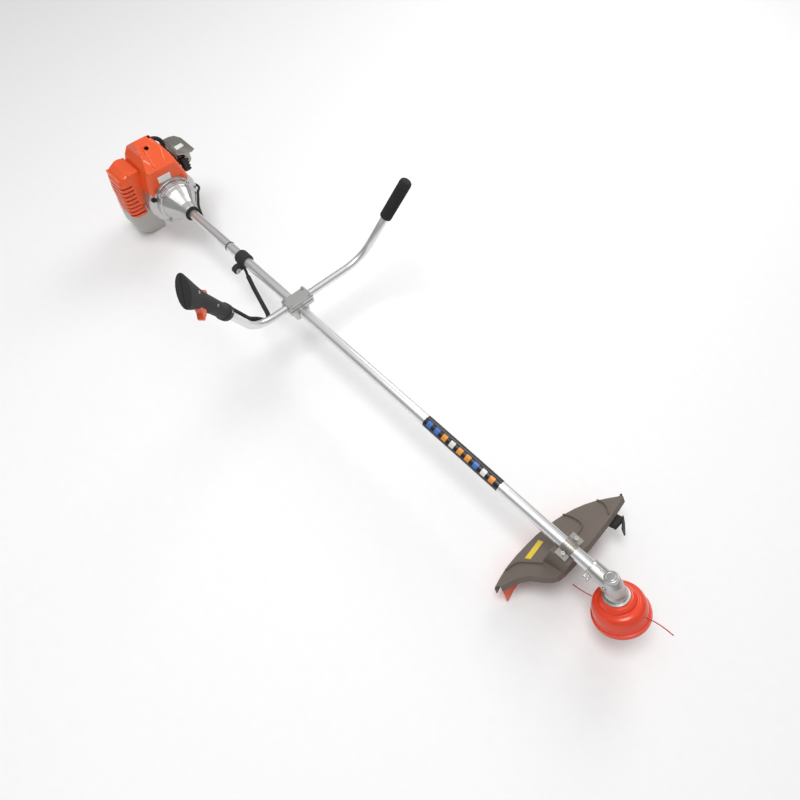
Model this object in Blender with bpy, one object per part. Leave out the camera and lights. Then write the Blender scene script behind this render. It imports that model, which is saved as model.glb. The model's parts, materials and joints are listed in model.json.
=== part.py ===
"""Petrol brush cutter: a two-stroke engine, a long straight tube with a bicycle handlebar,
and a bevel gear head with a trimmer head and guard.

Metres. The design is laid out in the tube's own frame: +X runs along the tube towards the
trimmer head, +Y is the operator's left, +Z is up, and the tube's front end is at x = 0 on the
tube's axis. One empty carries everything and lifts the machine so that the tank's foot rests
on z = 0, with the world's origin at the middle of that foot.
"""

from math import cos, hypot, pi, radians, sin

import bmesh
import bpy
from mathutils import Matrix, Vector

# ---------------------------------------------------------------- driving dimensions
GAP = 0.0003                    # clearance between pieces that touch

TUBE_R = 0.014                  # 28 mm shaft tube
TUBE_WALL = 0.0015
TUBE_VISIBLE = 1.424            # tube length between clutch housing and gear case
TUBE_SOCKET = 0.038             # how far the tube goes into the clutch housing
TUBE_FRONT = 0.026              # how far the tube goes into the gear case
DRIVE_R = 0.004                 # 8 mm solid drive shaft
FOOT_DROP = 0.169               # tank foot below the tube's axis

HEAD_ANGLE = radians(60)        # head axis below the tube's axis
HEAD_X = 0.058                  # where the head axis crosses the tube's axis
HEAD_RIM_R = 0.060
LINE_LEVEL = 0.0670             # line eyes, down the head axis
WASHER_R = 0.028
PINION_TEETH = 12
GEAR_TEETH = 18

GUARD_TOP = 0.002               # guard's upper face, down the head axis from the tube's axis
GUARD_CROWN = 0.008             # how much lower that face is at the outer edge
GUARD_WALL = 0.003
EXTENSION_INSET = 0.0042        # extension's outer face, inside the guard's outer edge
EXTENSION_WALL = 0.0028
EXTENSION_LOW = 0.0706          # extension's lower edge, down the head axis

BAR_R = 0.010                   # 20 mm handlebar
BAR_X = -0.930
BAR_Z = 0.0263
BAR_BEND_LEFT = 0.214
BAR_BEND_RIGHT = -0.129
BAR_RISE = Vector((0.0648, 0.1068, 0.2275))    # left end section, from its bend
BAR_BEND_R = 0.085
GRIP_R = 0.0158
GRIP_LENGTH = 0.112

THROTTLE_BAR_END = 0.290        # the bar's end inside the throttle grip, from its bend
FLANGE_AT = 0.186               # throttle grip's flange, from the bend
HORN_AT = 0.384                 # the grip's flat end
TRIGGER_LEAN = Vector((0.631, -0.617, -0.469))     # which way the trigger points
TRIGGER_PIVOT = (0.0110, 0.0, 0.3180)   # pivots, in the throttle grip's frame
INTERLOCK_PIVOT = (-0.0130, 0.0, 0.2945)
SWITCH_PIVOT = (0.0, -0.0150, 0.2590)
CABLE_R = 0.0038
CABLE_OFFSET = 0.0140           # cable's distance from the bar's axis

HANGER_X = -1.171
EAR_CENTRE = (-0.0315, -0.0140)         # y and z of the strap hanger's eye
GUARD_CLAMP_X = -0.054

CONE_FRONT = -1.424
FLANGE_X = -1.500
LUG = 0.0440                    # clutch housing lugs, sideways and up from the axis
CASE_REAR = -1.560
CASE_R = 0.078
BLOCK_FRONT = -1.562
BLOCK_REAR = -1.640
CYLINDER_X = -1.598
CYLINDER_FIN_R = 0.0355
PISTON_R = 0.0199
SHROUD_WALL = 0.0028
SHROUD_RIDGE = (-1.6000, 0.1560)        # x and z of the shroud's highest edge
ROOF_SLOPE = radians(29.4)      # forwards from the ridge
BACK_SLOPE = radians(35)        # rearwards from the ridge
COVER_CORNER = 0.0140           # side cover's upright edges
COVER_REAR = -1.6430
SPARK_CAP_R = 0.0062
SPARK_LEAD_SHARE = 0.4          # the lead's radius over the cap's
STARTER_X = -1.672              # where the starter rope leaves its case
STARTER_REAR = -1.698
STARTER_R = 0.058
TANK_FRONT = -1.632
TANK_REAR = -1.722
TANK_RIGHT = -0.112
TANK_LEFT = 0.084
TANK_CORNER_Y = -0.020          # the front steps back to the left of this
TANK_WAIST_X = -1.690           # the back steps forward to the right of TANK_WAIST_Y
TANK_WAIST_Y = -0.062
TANK_FOOT = (-1.690, 0.000)     # middle of the foot's flat face in x and y
FILLER = (-1.6970, 0.0620)      # x and y of the tank's neck

ORIGIN = Vector((-TANK_FOOT[0], -TANK_FOOT[1], FOOT_DROP))

X_AXIS = Vector((1, 0, 0))
Y_AXIS = Vector((0, 1, 0))
Z_AXIS = Vector((0, 0, 1))
HEAD_AXIS = Vector((cos(HEAD_ANGLE), 0, -sin(HEAD_ANGLE)))
HEAD_BACK = Vector((-sin(HEAD_ANGLE), 0, -cos(HEAD_ANGLE)))
HEAD_POINT = Vector((HEAD_X, 0, 0))
LINE_OUT = HEAD_BACK * cos(radians(11)) - Y_AXIS * sin(radians(11))

# colour, roughness, metallic
FINISHES = {
    "orange_plastic": ((0.85, 0.10, 0.02), 0.38, 0.0),
    "orange_gloss": ((0.80, 0.06, 0.02), 0.22, 0.0),
    "black_plastic": ((0.02, 0.02, 0.02), 0.55, 0.0),
    "taupe_plastic": ((0.16, 0.13, 0.11), 0.50, 0.0),
    "tank_plastic": ((0.62, 0.62, 0.58), 0.35, 0.0),
    "cast_aluminium": ((0.55, 0.55, 0.54), 0.45, 0.9),
    "anodised_tube": ((0.80, 0.80, 0.80), 0.28, 0.9),
    "steel": ((0.55, 0.54, 0.52), 0.30, 1.0),
    "muffler_steel": ((0.36, 0.34, 0.31), 0.48, 0.9),
    "black_rubber": ((0.015, 0.015, 0.015), 0.70, 0.0),
    "line_red": ((0.55, 0.03, 0.03), 0.35, 0.0),
    "filter_foam": ((0.10, 0.10, 0.11), 0.90, 0.0),
}

for old in list(bpy.data.objects):
    bpy.data.objects.remove(old, do_unlink=True)

machine = bpy.data.objects.new("machine_frame", None)
machine.location = ORIGIN
bpy.context.scene.collection.objects.link(machine)


# ---------------------------------------------------------------- modelling helpers
def finish(name):
    """The named Principled material, made on first use."""
    found = bpy.data.materials.get(name)
    if found:
        return found
    colour, roughness, metallic = FINISHES[name]
    made = bpy.data.materials.new(name)
    made.use_nodes = True
    shader = made.node_tree.nodes["Principled BSDF"]
    shader.inputs["Base Color"].default_value = (*colour, 1.0)
    shader.inputs["Roughness"].default_value = roughness
    shader.inputs["Metallic"].default_value = metallic
    return made


def frame_matrix(origin, axis, towards=None):
    """A placement whose local Z lies along axis and whose local X leans towards `towards`."""
    z = Vector(axis).normalized()
    if towards is None:
        towards = X_AXIS if abs(z.x) < 0.9 else Y_AXIS
    x = (Vector(towards) - z * z.dot(Vector(towards))).normalized()
    y = z.cross(x)
    turn = Matrix((x, y, z)).transposed()
    return Matrix.Translation(origin) @ turn.to_4x4()


def add(name, bm, look, place=None, smooth=35):
    """Turn a bmesh into a named object in the machine's frame."""
    bmesh.ops.remove_doubles(bm, verts=bm.verts, dist=1e-7)
    bmesh.ops.recalc_face_normals(bm, faces=bm.faces)
    mesh = bpy.data.meshes.new(name)
    bm.to_mesh(mesh)
    bm.free()
    if smooth:
        mesh.shade_smooth()
        mesh.set_sharp_from_angle(angle=radians(smooth))
    mesh.materials.append(finish(look))
    made = bpy.data.objects.new(name, mesh)
    bpy.context.scene.collection.objects.link(made)
    made.parent = machine
    if place is not None:
        made.matrix_basis = place
    return made


def turned(name, profile, look, origin, axis=Z_AXIS, steps=20, towards=None):
    """Spin a loop of (distance along the axis, radius) points into a solid."""
    bm = bmesh.new()
    ring = [bm.verts.new((radius, 0, along)) for along, radius in profile]
    pairs = list(zip(ring, ring[1:]))
    if profile[0][1] > 0 or profile[-1][1] > 0:
        pairs.append((ring[-1], ring[0]))
    edges = [bm.edges.new(pair) for pair in pairs]
    bmesh.ops.spin(bm, geom=ring + edges, cent=(0, 0, 0), axis=(0, 0, 1),
                   angle=2 * pi, steps=steps, use_merge=True)
    return add(name, bm, look, frame_matrix(origin, axis, towards))


def extruded(name, outline, depth, look, origin, axis=Z_AXIS, towards=None):
    """Extrude a flat outline, given in the placement's X and Y, along its Z."""
    bm = bmesh.new()
    face = bm.faces.new([bm.verts.new((x, y, 0)) for x, y in outline])
    grown = bmesh.ops.extrude_face_region(bm, geom=[face])
    top = [v for v in grown["geom"] if isinstance(v, bmesh.types.BMVert)]
    bmesh.ops.translate(bm, verts=top, vec=(0, 0, depth))
    return add(name, bm, look, frame_matrix(origin, axis, towards))


def lofted(name, sections, look, place=None):
    """Skin a solid through rings of points that all have the same count."""
    bm = bmesh.new()
    rings = [[bm.verts.new(point) for point in section] for section in sections]
    for low, high in zip(rings, rings[1:]):
        for i in range(len(low)):
            j = (i + 1) % len(low)
            bm.faces.new((low[i], low[j], high[j], high[i]))
    bm.faces.new(rings[0])
    bm.faces.new(rings[-1])
    bmesh.ops.triangulate(bm, faces=bm.faces)
    return add(name, bm, look, place)


def box_between(name, low, high, look, bevel=0.0, place=Matrix.Identity(4)):
    """A box between two corners of the given placement, with its edges rounded."""
    bm = bmesh.new()
    bmesh.ops.create_cube(bm, size=1.0)
    size = [b - a for a, b in zip(low, high)]
    bmesh.ops.scale(bm, vec=size, verts=bm.verts)
    middle = Vector([(a + b) / 2 for a, b in zip(low, high)])
    made = add(name, bm, look, place @ Matrix.Translation(middle), smooth=30)
    if bevel:
        rounding = made.modifiers.new("rounding", "BEVEL")
        rounding.width = bevel
        rounding.segments = 1
    return made


def cable(name, points, radius, look, sides=2, closed_ends=True):
    """A round cable or rod along a smooth run of points."""
    curve = bpy.data.curves.new(name, "CURVE")
    curve.dimensions = "3D"
    curve.bevel_depth = radius
    curve.bevel_resolution = sides
    curve.use_fill_caps = closed_ends
    curve.render_resolution_u = 0
    spline = curve.splines.new("POLY")
    spline.points.add(len(points) - 1)
    for slot, point in zip(spline.points, points):
        slot.co = (*point, 1)
    curve.materials.append(finish(look))
    made = bpy.data.objects.new(name, curve)
    bpy.context.scene.collection.objects.link(made)
    made.parent = machine
    return made


def hide_tool(tool):
    tool.hide_render = True
    tool.display_type = "WIRE"


def combine(target, tool, operation):
    """Add an exact Boolean of the tool to the target and hide the tool."""
    step = target.modifiers.new(tool.name, "BOOLEAN")
    step.object = tool
    step.operation = operation
    step.solver = "EXACT"
    hide_tool(tool)
    return target


def cut(target, tool):
    return combine(target, tool, "DIFFERENCE")


def join(target, tool):
    return combine(target, tool, "UNION")


def bore(target, name, origin, axis, radius, length, steps=20):
    """Drill a round hole from origin along axis."""
    drill = turned(name, [(0, 0), (0, radius), (length, radius), (length, 0)], "steel",
                   origin, axis, steps)
    return cut(target, drill)


def rounded_rectangle(width, height, radius, steps=4, centre=(0, 0)):
    """Outline of a rectangle with round corners, anticlockwise."""
    points = []
    for corner, (sx, sy) in enumerate(((1, 1), (-1, 1), (-1, -1), (1, -1))):
        cx = centre[0] + sx * (width / 2 - radius)
        cy = centre[1] + sy * (height / 2 - radius)
        for i in range(steps + 1):
            angle = pi / 2 * (corner + i / steps)
            points.append((cx + radius * cos(angle), cy + radius * sin(angle)))
    return points


def circle(radius, steps, centre=(0, 0), start=0.0):
    return [(centre[0] + radius * cos(start + 2 * pi * i / steps),
             centre[1] + radius * sin(start + 2 * pi * i / steps)) for i in range(steps)]


def toothed(root, tip, teeth):
    """Outline of a toothed wheel: two points on the root and two on the tip of each tooth."""
    points = []
    for i in range(teeth):
        for share, radius in ((0.0, root), (0.3, tip), (0.55, tip), (0.85, root)):
            angle = 2 * pi * (i + share) / teeth
            points.append((radius * cos(angle), radius * sin(angle)))
    return points


def rounded_path(corners, radius, steps=8):
    """Straight runs between corners, with each inner corner turned on an arc."""
    points = [Vector(corners[0])]
    for before, corner, after in zip(corners, corners[1:], corners[2:]):
        back = (Vector(before) - Vector(corner)).normalized()
        on = (Vector(after) - Vector(corner)).normalized()
        half = back.angle(on) / 2
        reach = radius / (sin(half) / cos(half))
        middle = Vector(corner) + (back + on).normalized() * radius / sin(half)
        start = Vector(corner) + back * reach - middle
        end = Vector(corner) + on * reach - middle
        sweep = start.angle(end)
        side = (end - start * cos(sweep)) / sin(sweep)
        for i in range(steps + 1):
            angle = sweep * i / steps
            points.append(middle + start * cos(angle) + side * sin(angle))
    points.append(Vector(corners[-1]))
    return points


def smooth_run(points, per_span):
    """Points along a Catmull-Rom curve through the given ones."""
    knots = [Vector(p) for p in points]
    knots = [2 * knots[0] - knots[1]] + knots + [2 * knots[-1] - knots[-2]]
    run = []
    for a, b, c, d in zip(knots, knots[1:], knots[2:], knots[3:]):
        for i in range(per_span):
            t = i / per_span
            run.append(0.5 * ((2 * b) + (c - a) * t + (2 * a - 5 * b + 4 * c - d) * t ** 2
                              + (3 * b - a - 3 * c + d) * t ** 3))
    run.append(knots[-2])
    return run


def bolt(name, origin, axis, head_r, head_h, shank_r, shank, look="steel", steps=12):
    """A cap screw: the head stands out along axis, the shank goes in against it."""
    profile = [(-shank, 0), (-shank, shank_r), (0, shank_r), (0, head_r),
               (head_h * 0.8, head_r), (head_h, head_r * 0.8), (head_h, 0)]
    return turned(name, profile, look, origin, axis, steps)


def on_head(back, side, along):
    """A point given behind the head axis, to the left, and down along the axis."""
    return HEAD_POINT + HEAD_BACK * back + Y_AXIS * side + HEAD_AXIS * along


# ---------------------------------------------------------------- tube and drive line
def tube_and_drive():
    rear = CONE_FRONT - TUBE_SOCKET
    inner = TUBE_R - TUBE_WALL
    turned("shaft_tube", [(rear, inner), (rear, TUBE_R), (TUBE_FRONT, TUBE_R),
                          (TUBE_FRONT, inner)], "anodised_tube", (0, 0, 0), X_AXIS)
    turned("drive_shaft", [(-1.476, 0), (-1.476, DRIVE_R), (0.0385, DRIVE_R), (0.0385, 0)],
           "steel", (0, 0, 0), X_AXIS, 12)
    bush_x = -0.700
    turned("shaft_bush", [(-0.016, DRIVE_R + GAP), (-0.016, inner - GAP), (0.016, inner - GAP),
                          (0.016, DRIVE_R + GAP)], "black_rubber", (bush_x, 0, 0), X_AXIS, 24)


def gear_head():
    case = turned("gear_case", [(0.0, 0), (0.0, 0.0175), (0.006, 0.0185), (0.030, 0.0190),
                                (0.052, 0.0195), (0.058, 0.0180), (0.058, 0)],
                  "cast_aluminium", (0, 0, 0), X_AXIS, 20)
    barrel = turned("gear_barrel", [(-0.0262, 0), (-0.0262, 0.0150), (-0.024, 0.0160),
                                    (-0.012, 0.0190), (0.010, 0.0205), (0.016, 0.0225),
                                    (0.0225, 0.0225), (0.0225, 0)],
                    "cast_aluminium", HEAD_POINT, HEAD_AXIS, 20)
    join(case, barrel)
    ear = box_between("gear_case_ear", (0.001, -0.0245, -0.0085), (0.015, -0.0100, -0.0025),
                      "cast_aluminium")
    join(case, ear)
    lower_ear = box_between("gear_case_ear_low", (0.001, -0.0245, -0.0175), (0.015, -0.0060, -0.0115),
                            "cast_aluminium")
    join(case, lower_ear)
    bore(case, "tube_socket", (-0.002, 0, 0), X_AXIS, TUBE_R + GAP, 0.002 + TUBE_FRONT + GAP, 24)
    bore(case, "pinion_room", (0.020, 0, 0), X_AXIS, 0.0125, 0.034, 18)
    bore(case, "gear_room", HEAD_POINT + HEAD_AXIS * 0.030, -HEAD_AXIS, 0.0172, 0.030, 24)
    bore(case, "cap_seat", HEAD_POINT - HEAD_AXIS * 0.0262, -HEAD_AXIS, 0.0156, 0.020, 16)
    bore(case, "clamp_bolt_hole", (0.008, -0.0200, -0.030), Z_AXIS, 0.0022, 0.040, 10)

    turned("gear_case_cap", [(-0.0342, 0), (-0.0342, 0.0128), (-0.0330, 0.0145),
                             (-0.0265, 0.0150), (-0.0265, 0)],
           "cast_aluminium", HEAD_POINT, HEAD_AXIS, 12)

    pinion = extruded("input_pinion", toothed(0.0080, 0.0100, PINION_TEETH), 0.013, "steel",
                      (0.0300, 0, 0), X_AXIS)
    bore(pinion, "pinion_bore", (0.028, 0, 0), X_AXIS, DRIVE_R + GAP, 0.0112, 16)

    gear = extruded("output_gear", toothed(0.0130, 0.0155, GEAR_TEETH), 0.007, "steel",
                    HEAD_POINT + HEAD_AXIS * 0.0095, HEAD_AXIS)
    shaft = turned("output_shaft", [(0.010, 0), (0.010, 0.006), (0.045, 0.006), (0.045, 0)],
                   "steel", HEAD_POINT, HEAD_AXIS, 16)
    join(gear, shaft)
    turned("adapter_washer", [(0.0232, 0.0063), (0.0232, WASHER_R - 0.001),
                              (0.0242, WASHER_R), (0.0268, WASHER_R), (0.0268, 0.0063)],
           "steel", HEAD_POINT, HEAD_AXIS, 28)


# ---------------------------------------------------------------- trimmer head
def trimmer_head():
    shell = [(0.0272, 0.0065), (0.0272, 0.0300), (0.0365, 0.0335), (0.0425, 0.0425),
             (0.0520, 0.0500), (0.0620, 0.0550), (0.0790, 0.0568), (0.0800, HEAD_RIM_R),
             (0.0860, HEAD_RIM_R), (0.0860, 0.0550), (0.0600, 0.0518), (0.0480, 0.0410),
             (0.0420, 0.0345), (0.0302, 0.0290), (0.0302, 0.0065)]
    cover = turned("head_housing", shell, "orange_gloss", HEAD_POINT, HEAD_AXIS, 28)
    spool = [(0.0520, 0.0110), (0.0520, 0.0380), (0.0545, 0.0380), (0.0545, 0.0360),
             (0.0790, 0.0400), (0.0790, 0.0440), (0.0815, 0.0440), (0.0815, 0.0110)]
    turned("line_spool", spool, "line_red", HEAD_POINT, HEAD_AXIS, 20)
    turned("head_base", [(0.0863, 0.0262), (0.0863, HEAD_RIM_R), (0.0885, HEAD_RIM_R),
                         (0.0900, 0.0585), (0.0915, 0.0480), (0.0915, 0.0262)],
           "orange_gloss", HEAD_POINT, HEAD_AXIS, 28)
    turned("bump_knob", [(0.0818, 0.0110), (0.0818, 0.0240), (0.0930, 0.0245), (0.1030, 0.0235),
                         (0.1080, 0.0200), (0.1100, 0.0120), (0.1100, 0)]
           + [(0.0900, 0), (0.0900, 0.0110)], "black_plastic", HEAD_POINT, HEAD_AXIS, 20)
    turns, per_turn, coil_r = 4, 10, 0.0088
    run = []
    for i in range(turns * per_turn + 1):
        angle = 2 * pi * i / per_turn
        along = 0.0500 + 0.030 * i / (turns * per_turn)
        run.append(on_head(coil_r * cos(angle), coil_r * sin(angle), along))
    cable("bump_spring", run, 0.0008, "steel", 0)
    for side, name in ((1, "line_tail_left"), (-1, "line_tail_right")):
        out = LINE_OUT * side
        eye = HEAD_POINT + HEAD_AXIS * LINE_LEVEL
        bore(cover, name + "_eye", eye + out * 0.048, out, 0.0026, 0.014, 10)
        start = eye + out * 0.0465
        tail = [start + HEAD_BACK * side * 0.066 * t + HEAD_AXIS * 0.004 * t * t
                - Y_AXIS * side * 0.003 * sin(pi * t) for t in (0, 0.2, 0.4, 0.6, 0.8, 1.0)]
        cable(name, tail, 0.0012, "line_red", 1)


# ---------------------------------------------------------------- guard
def guard_edges(steps):
    """Matching points (behind the head axis, to the left) along the front and outer edges."""
    front = [(0.190, -0.132), (0.179, -0.102), (0.158, -0.076), (0.128, -0.061), (0.109, -0.042),
             (0.106, -0.010), (0.105, 0.040), (0.108, 0.090), (0.112, 0.140), (0.122, 0.206)]
    outer = [(0.200, -0.140), (0.208, -0.115), (0.215, -0.085), (0.218, -0.055), (0.219, -0.020),
             (0.218, 0.025), (0.210, 0.075), (0.194, 0.125), (0.167, 0.170), (0.128, 0.210)]
    runs = []
    for knots in (front, outer):
        run = smooth_run([(back, side, 0) for back, side in knots], steps)
        runs.append([(point.x, point.y) for point in run])
    return list(zip(*runs))


def guard():
    rows, skirt, lip = 4, 0.024, 0.016
    bm = bmesh.new()
    grid = []
    for (front_back, front_side), (outer_back, outer_side) in guard_edges(2):
        column = [on_head(front_back, front_side, GUARD_TOP + lip)]
        for k in range(rows + 1):
            share = k / rows
            back = front_back + (outer_back - front_back) * share
            side = front_side + (outer_side - front_side) * share
            column.append(on_head(back, side, GUARD_TOP + GUARD_CROWN * share ** 3))
        column.append(on_head(outer_back, outer_side, GUARD_TOP + skirt))
        grid.append([bm.verts.new(point) for point in column])
    for left, right in zip(grid, grid[1:]):
        for k in range(len(left) - 1):
            bm.faces.new((left[k], left[k + 1], right[k + 1], right[k]))
    shell = add("guard", bm, "taupe_plastic")
    wall = shell.modifiers.new("wall", "SOLIDIFY")
    wall.thickness = GUARD_WALL
    wall.offset = 1.0       # the wall grows upwards from the drawn surface
    half_width = 0.031
    saddle = extruded("guard_saddle", [(-0.024, -0.0870), (0.024, -0.0560), (0.024, -0.0060),
                                       (-0.024, -0.0060)], 2 * half_width, "taupe_plastic",
                      (GUARD_CLAMP_X, half_width, 0), -Y_AXIS, X_AXIS)
    join(shell, saddle)
    rear = GUARD_CLAMP_X - 0.030
    bore(shell, "guard_tube_way", (rear, 0, 0), X_AXIS, TUBE_R + GAP, 0.060)

    clamp = box_between("guard_clamp", (GUARD_CLAMP_X - 0.022, -half_width, -0.0057),
                        (GUARD_CLAMP_X + 0.022, half_width, 0.0172), "taupe_plastic", 0.004)
    bore(clamp, "clamp_tube_way", (rear, 0, 0), X_AXIS, TUBE_R + GAP, 0.060)
    bolt_y = 0.0220
    for side, name in ((1, "left"), (-1, "right")):
        below = (GUARD_CLAMP_X, bolt_y * side, -0.032)
        bore(clamp, "clamp_hole_" + name, below, Z_AXIS, 0.0026, 0.060, 12)
        bore(shell, "saddle_hole_" + name, below, Z_AXIS, 0.0026, 0.030, 12)
        bolt("guard_bolt_" + name, (GUARD_CLAMP_X, bolt_y * side, 0.0176), Z_AXIS,
             0.0050, 0.0045, 0.0023, 0.047)


def guard_extension():
    """The deeper strip that hangs inside the guard's skirt."""
    top, bottom = GUARD_TOP + 0.0235, EXTENSION_LOW
    bm = bmesh.new()
    rings = []
    for _, (back, side) in guard_edges(2)[1:-1]:
        reach = hypot(back, side)
        ring = []
        for inset, along in ((EXTENSION_INSET, top), (EXTENSION_INSET + EXTENSION_WALL, top),
                             (EXTENSION_INSET + EXTENSION_WALL, bottom), (EXTENSION_INSET, bottom)):
            share = 1 - inset / reach
            ring.append(bm.verts.new(on_head(back * share, side * share, along)))
        rings.append(ring)
    for near, far in zip(rings, rings[1:]):
        for k in range(4):
            bm.faces.new((near[k], near[(k + 1) % 4], far[(k + 1) % 4], far[k]))
    bm.faces.new(rings[0])
    bm.faces.new(rings[-1])
    add("guard_extension", bm, "orange_plastic")


def line_blade():
    """The small plate under the guard's left end that trims the line to length."""
    angle = radians(59)
    out = HEAD_BACK * cos(angle) + Y_AXIS * sin(angle)
    across = out.cross(HEAD_AXIS)
    plate = extruded("line_blade", [(0.168, 0.0270), (0.206, 0.0270), (0.204, 0.0480),
                                    (0.182, 0.0640), (0.176, 0.0600)], 0.0026, "black_plastic",
                     HEAD_POINT - across * 0.0013, across, out)
    corners = [on_head(back, side, along) for along in (0.0246, 0.0360)
               for back, side in ((0.1010, 0.140), (0.1200, 0.140), (0.1200, 0.172),
                                  (0.1010, 0.172))]
    holder = lofted("blade_holder", [corners[:4], corners[4:]], "black_plastic")
    join(plate, holder)


# ---------------------------------------------------------------- handlebar and grips
def bar_ends():
    """Bends and end directions of the handlebar: left and right."""
    left = Vector((BAR_X, BAR_BEND_LEFT, BAR_Z))
    right = Vector((BAR_X, BAR_BEND_RIGHT, BAR_Z))
    rise_right = Vector((BAR_RISE.x, -BAR_RISE.y, BAR_RISE.z))
    return left, right, BAR_RISE.normalized(), rise_right.normalized()


def handlebar():
    left, right, left_way, right_way = bar_ends()
    corners = [left + left_way * (BAR_RISE.length - 0.003), left, right,
               right + right_way * THROTTLE_BAR_END]
    cable("handlebar", rounded_path(corners, BAR_BEND_R), BAR_R, "anodised_tube", 4)
    grip_start = BAR_RISE.length - GRIP_LENGTH
    sleeve = [(grip_start, BAR_R + GAP), (grip_start, GRIP_R + 0.0015),
              (grip_start + 0.004, GRIP_R + 0.0020), (grip_start + 0.006, GRIP_R),
              (BAR_RISE.length - 0.002, GRIP_R), (BAR_RISE.length + 0.002, GRIP_R - 0.003),
              (BAR_RISE.length + 0.002, 0), (BAR_RISE.length - 0.002, 0),
              (BAR_RISE.length - 0.002, BAR_R + GAP)]
    turned("left_grip", sleeve, "black_rubber", left, left_way, 20)


def handle_clamp():
    half_x, half_y, split = 0.0205, 0.0370, BAR_Z + 0.0002
    base = box_between("handle_clamp_base", (BAR_X - half_x, -half_y, 0.0120),
                       (BAR_X + half_x, half_y, split - GAP), "cast_aluminium", 0.002)
    collar = box_between("clamp_collar", (BAR_X - half_x + 0.0015, -0.0215, -0.0200),
                         (BAR_X + half_x - 0.0015, 0.0215, 0.0135), "cast_aluminium", 0.004)
    join(base, collar)
    cap = box_between("handle_clamp_cap", (BAR_X - half_x, -half_y, split),
                      (BAR_X + half_x, half_y, BAR_Z + 0.0128), "cast_aluminium", 0.0025)
    bore(base, "clamp_shaft_way", (BAR_X - 0.030, 0, 0), X_AXIS, TUBE_R + GAP, 0.060)
    for piece, name in ((base, "base"), (cap, "cap")):
        bore(piece, name + "_bar_way", (BAR_X, -0.045, BAR_Z), Y_AXIS, BAR_R + GAP, 0.090, 20)
    number = 0
    for dx in (-0.0155, 0.0155):
        for dy in (-0.0290, 0.0290):
            number += 1
            below = (BAR_X + dx, dy, 0.0)
            bore(base, f"base_hole_{number}", below, Z_AXIS, 0.0026, 0.050, 10)
            bore(cap, f"cap_hole_{number}", below, Z_AXIS, 0.0026, 0.050, 10)
            bolt(f"handle_bolt_{number}", (BAR_X + dx, dy, BAR_Z + 0.0132), Z_AXIS,
                 0.0042, 0.0040, 0.0023, 0.0250, steps=10)


def throttle_frame():
    """Origin and directions of the throttle grip: along the bar, towards the trigger, across."""
    _, right, _, way = bar_ends()
    front = (TRIGGER_LEAN - way * TRIGGER_LEAN.dot(way)).normalized()
    return right, way, front, way.cross(front)


def throttle_place():
    right, way, front, _ = throttle_frame()
    return frame_matrix(right, way, front)


def oval(front_r, back_r, across, along, lean=0.0, steps=20):
    """A ring around the grip: front_r towards the trigger, back_r towards the palm.

    lean tips the ring down the bar on the trigger's side.
    """
    points = []
    for i in range(steps):
        angle = 2 * pi * i / steps
        radius = front_r if cos(angle) > 0 else back_r
        x = radius * cos(angle)
        points.append((x, across * sin(angle), along + lean * x))
    return points


def throttle_grip():
    place = throttle_place()
    rings = [oval(0.0192, 0.0205, 0.0192, FLANGE_AT), oval(0.0196, 0.0205, 0.0196, 0.203),
             oval(0.0176, 0.0178, 0.0170, 0.206), oval(0.0172, 0.0168, 0.0165, 0.215),
             oval(0.0180, 0.0172, 0.0160, 0.255), oval(0.0200, 0.0175, 0.0158, 0.275),
             oval(0.0200, 0.0180, 0.0155, 0.312), oval(0.0240, 0.0215, 0.0145, 0.333, -0.15),
             oval(0.0300, 0.0280, 0.0148, HORN_AT - 0.022, -0.40),
             oval(0.0325, 0.0310, 0.0150, HORN_AT - 0.004, -0.50),
             oval(0.0305, 0.0290, 0.0135, HORN_AT, -0.50)]
    halves = []
    for name, side in (("throttle_grip_front", 1), ("throttle_grip_rear", -1)):
        half = lofted(name, rings, "black_plastic", place)
        low = (-0.06, GAP / 2 * side - (0.06 if side > 0 else 0), 0.15)
        cut(half, box_between(name + "_split", low, (0.06, low[1] + 0.06, 0.42), "steel",
                              place=place))
        halves.append(half)
    origin, way, front, across = throttle_frame()
    for half in halves:
        bore(half, half.name + "_bar_way", origin + way * 0.180, way, BAR_R + GAP,
             THROTTLE_BAR_END + 0.0005 - 0.180, 24)
        cut(half, box_between(half.name + "_trigger_room", (-0.0020, -0.0075, 0.2885),
                              (0.0600, 0.0075, 0.3235), "steel", place=place))
        cut(half, box_between(half.name + "_palm_room", (-0.0600, -0.0062, 0.2915),
                              (-0.0050, 0.0062, 0.3065), "steel", place=place))
        lead_in = origin + way * 0.150 - front * CABLE_OFFSET
        bore(half, half.name + "_cable_way", lead_in, way, CABLE_R + GAP, 0.0505, 12)
    cut(halves[1], box_between("stop_switch_room", (-0.0060, -0.0300, 0.2490),
                               (0.0060, -0.0105, 0.2690), "steel", place=place))


def pivoted(made, pivot):
    """Put an object's origin on its own pivot, given in the throttle grip's frame."""
    made.data.transform(Matrix.Translation([-c for c in pivot]))
    made.matrix_basis = throttle_place() @ Matrix.Translation(pivot)
    return made


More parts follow.
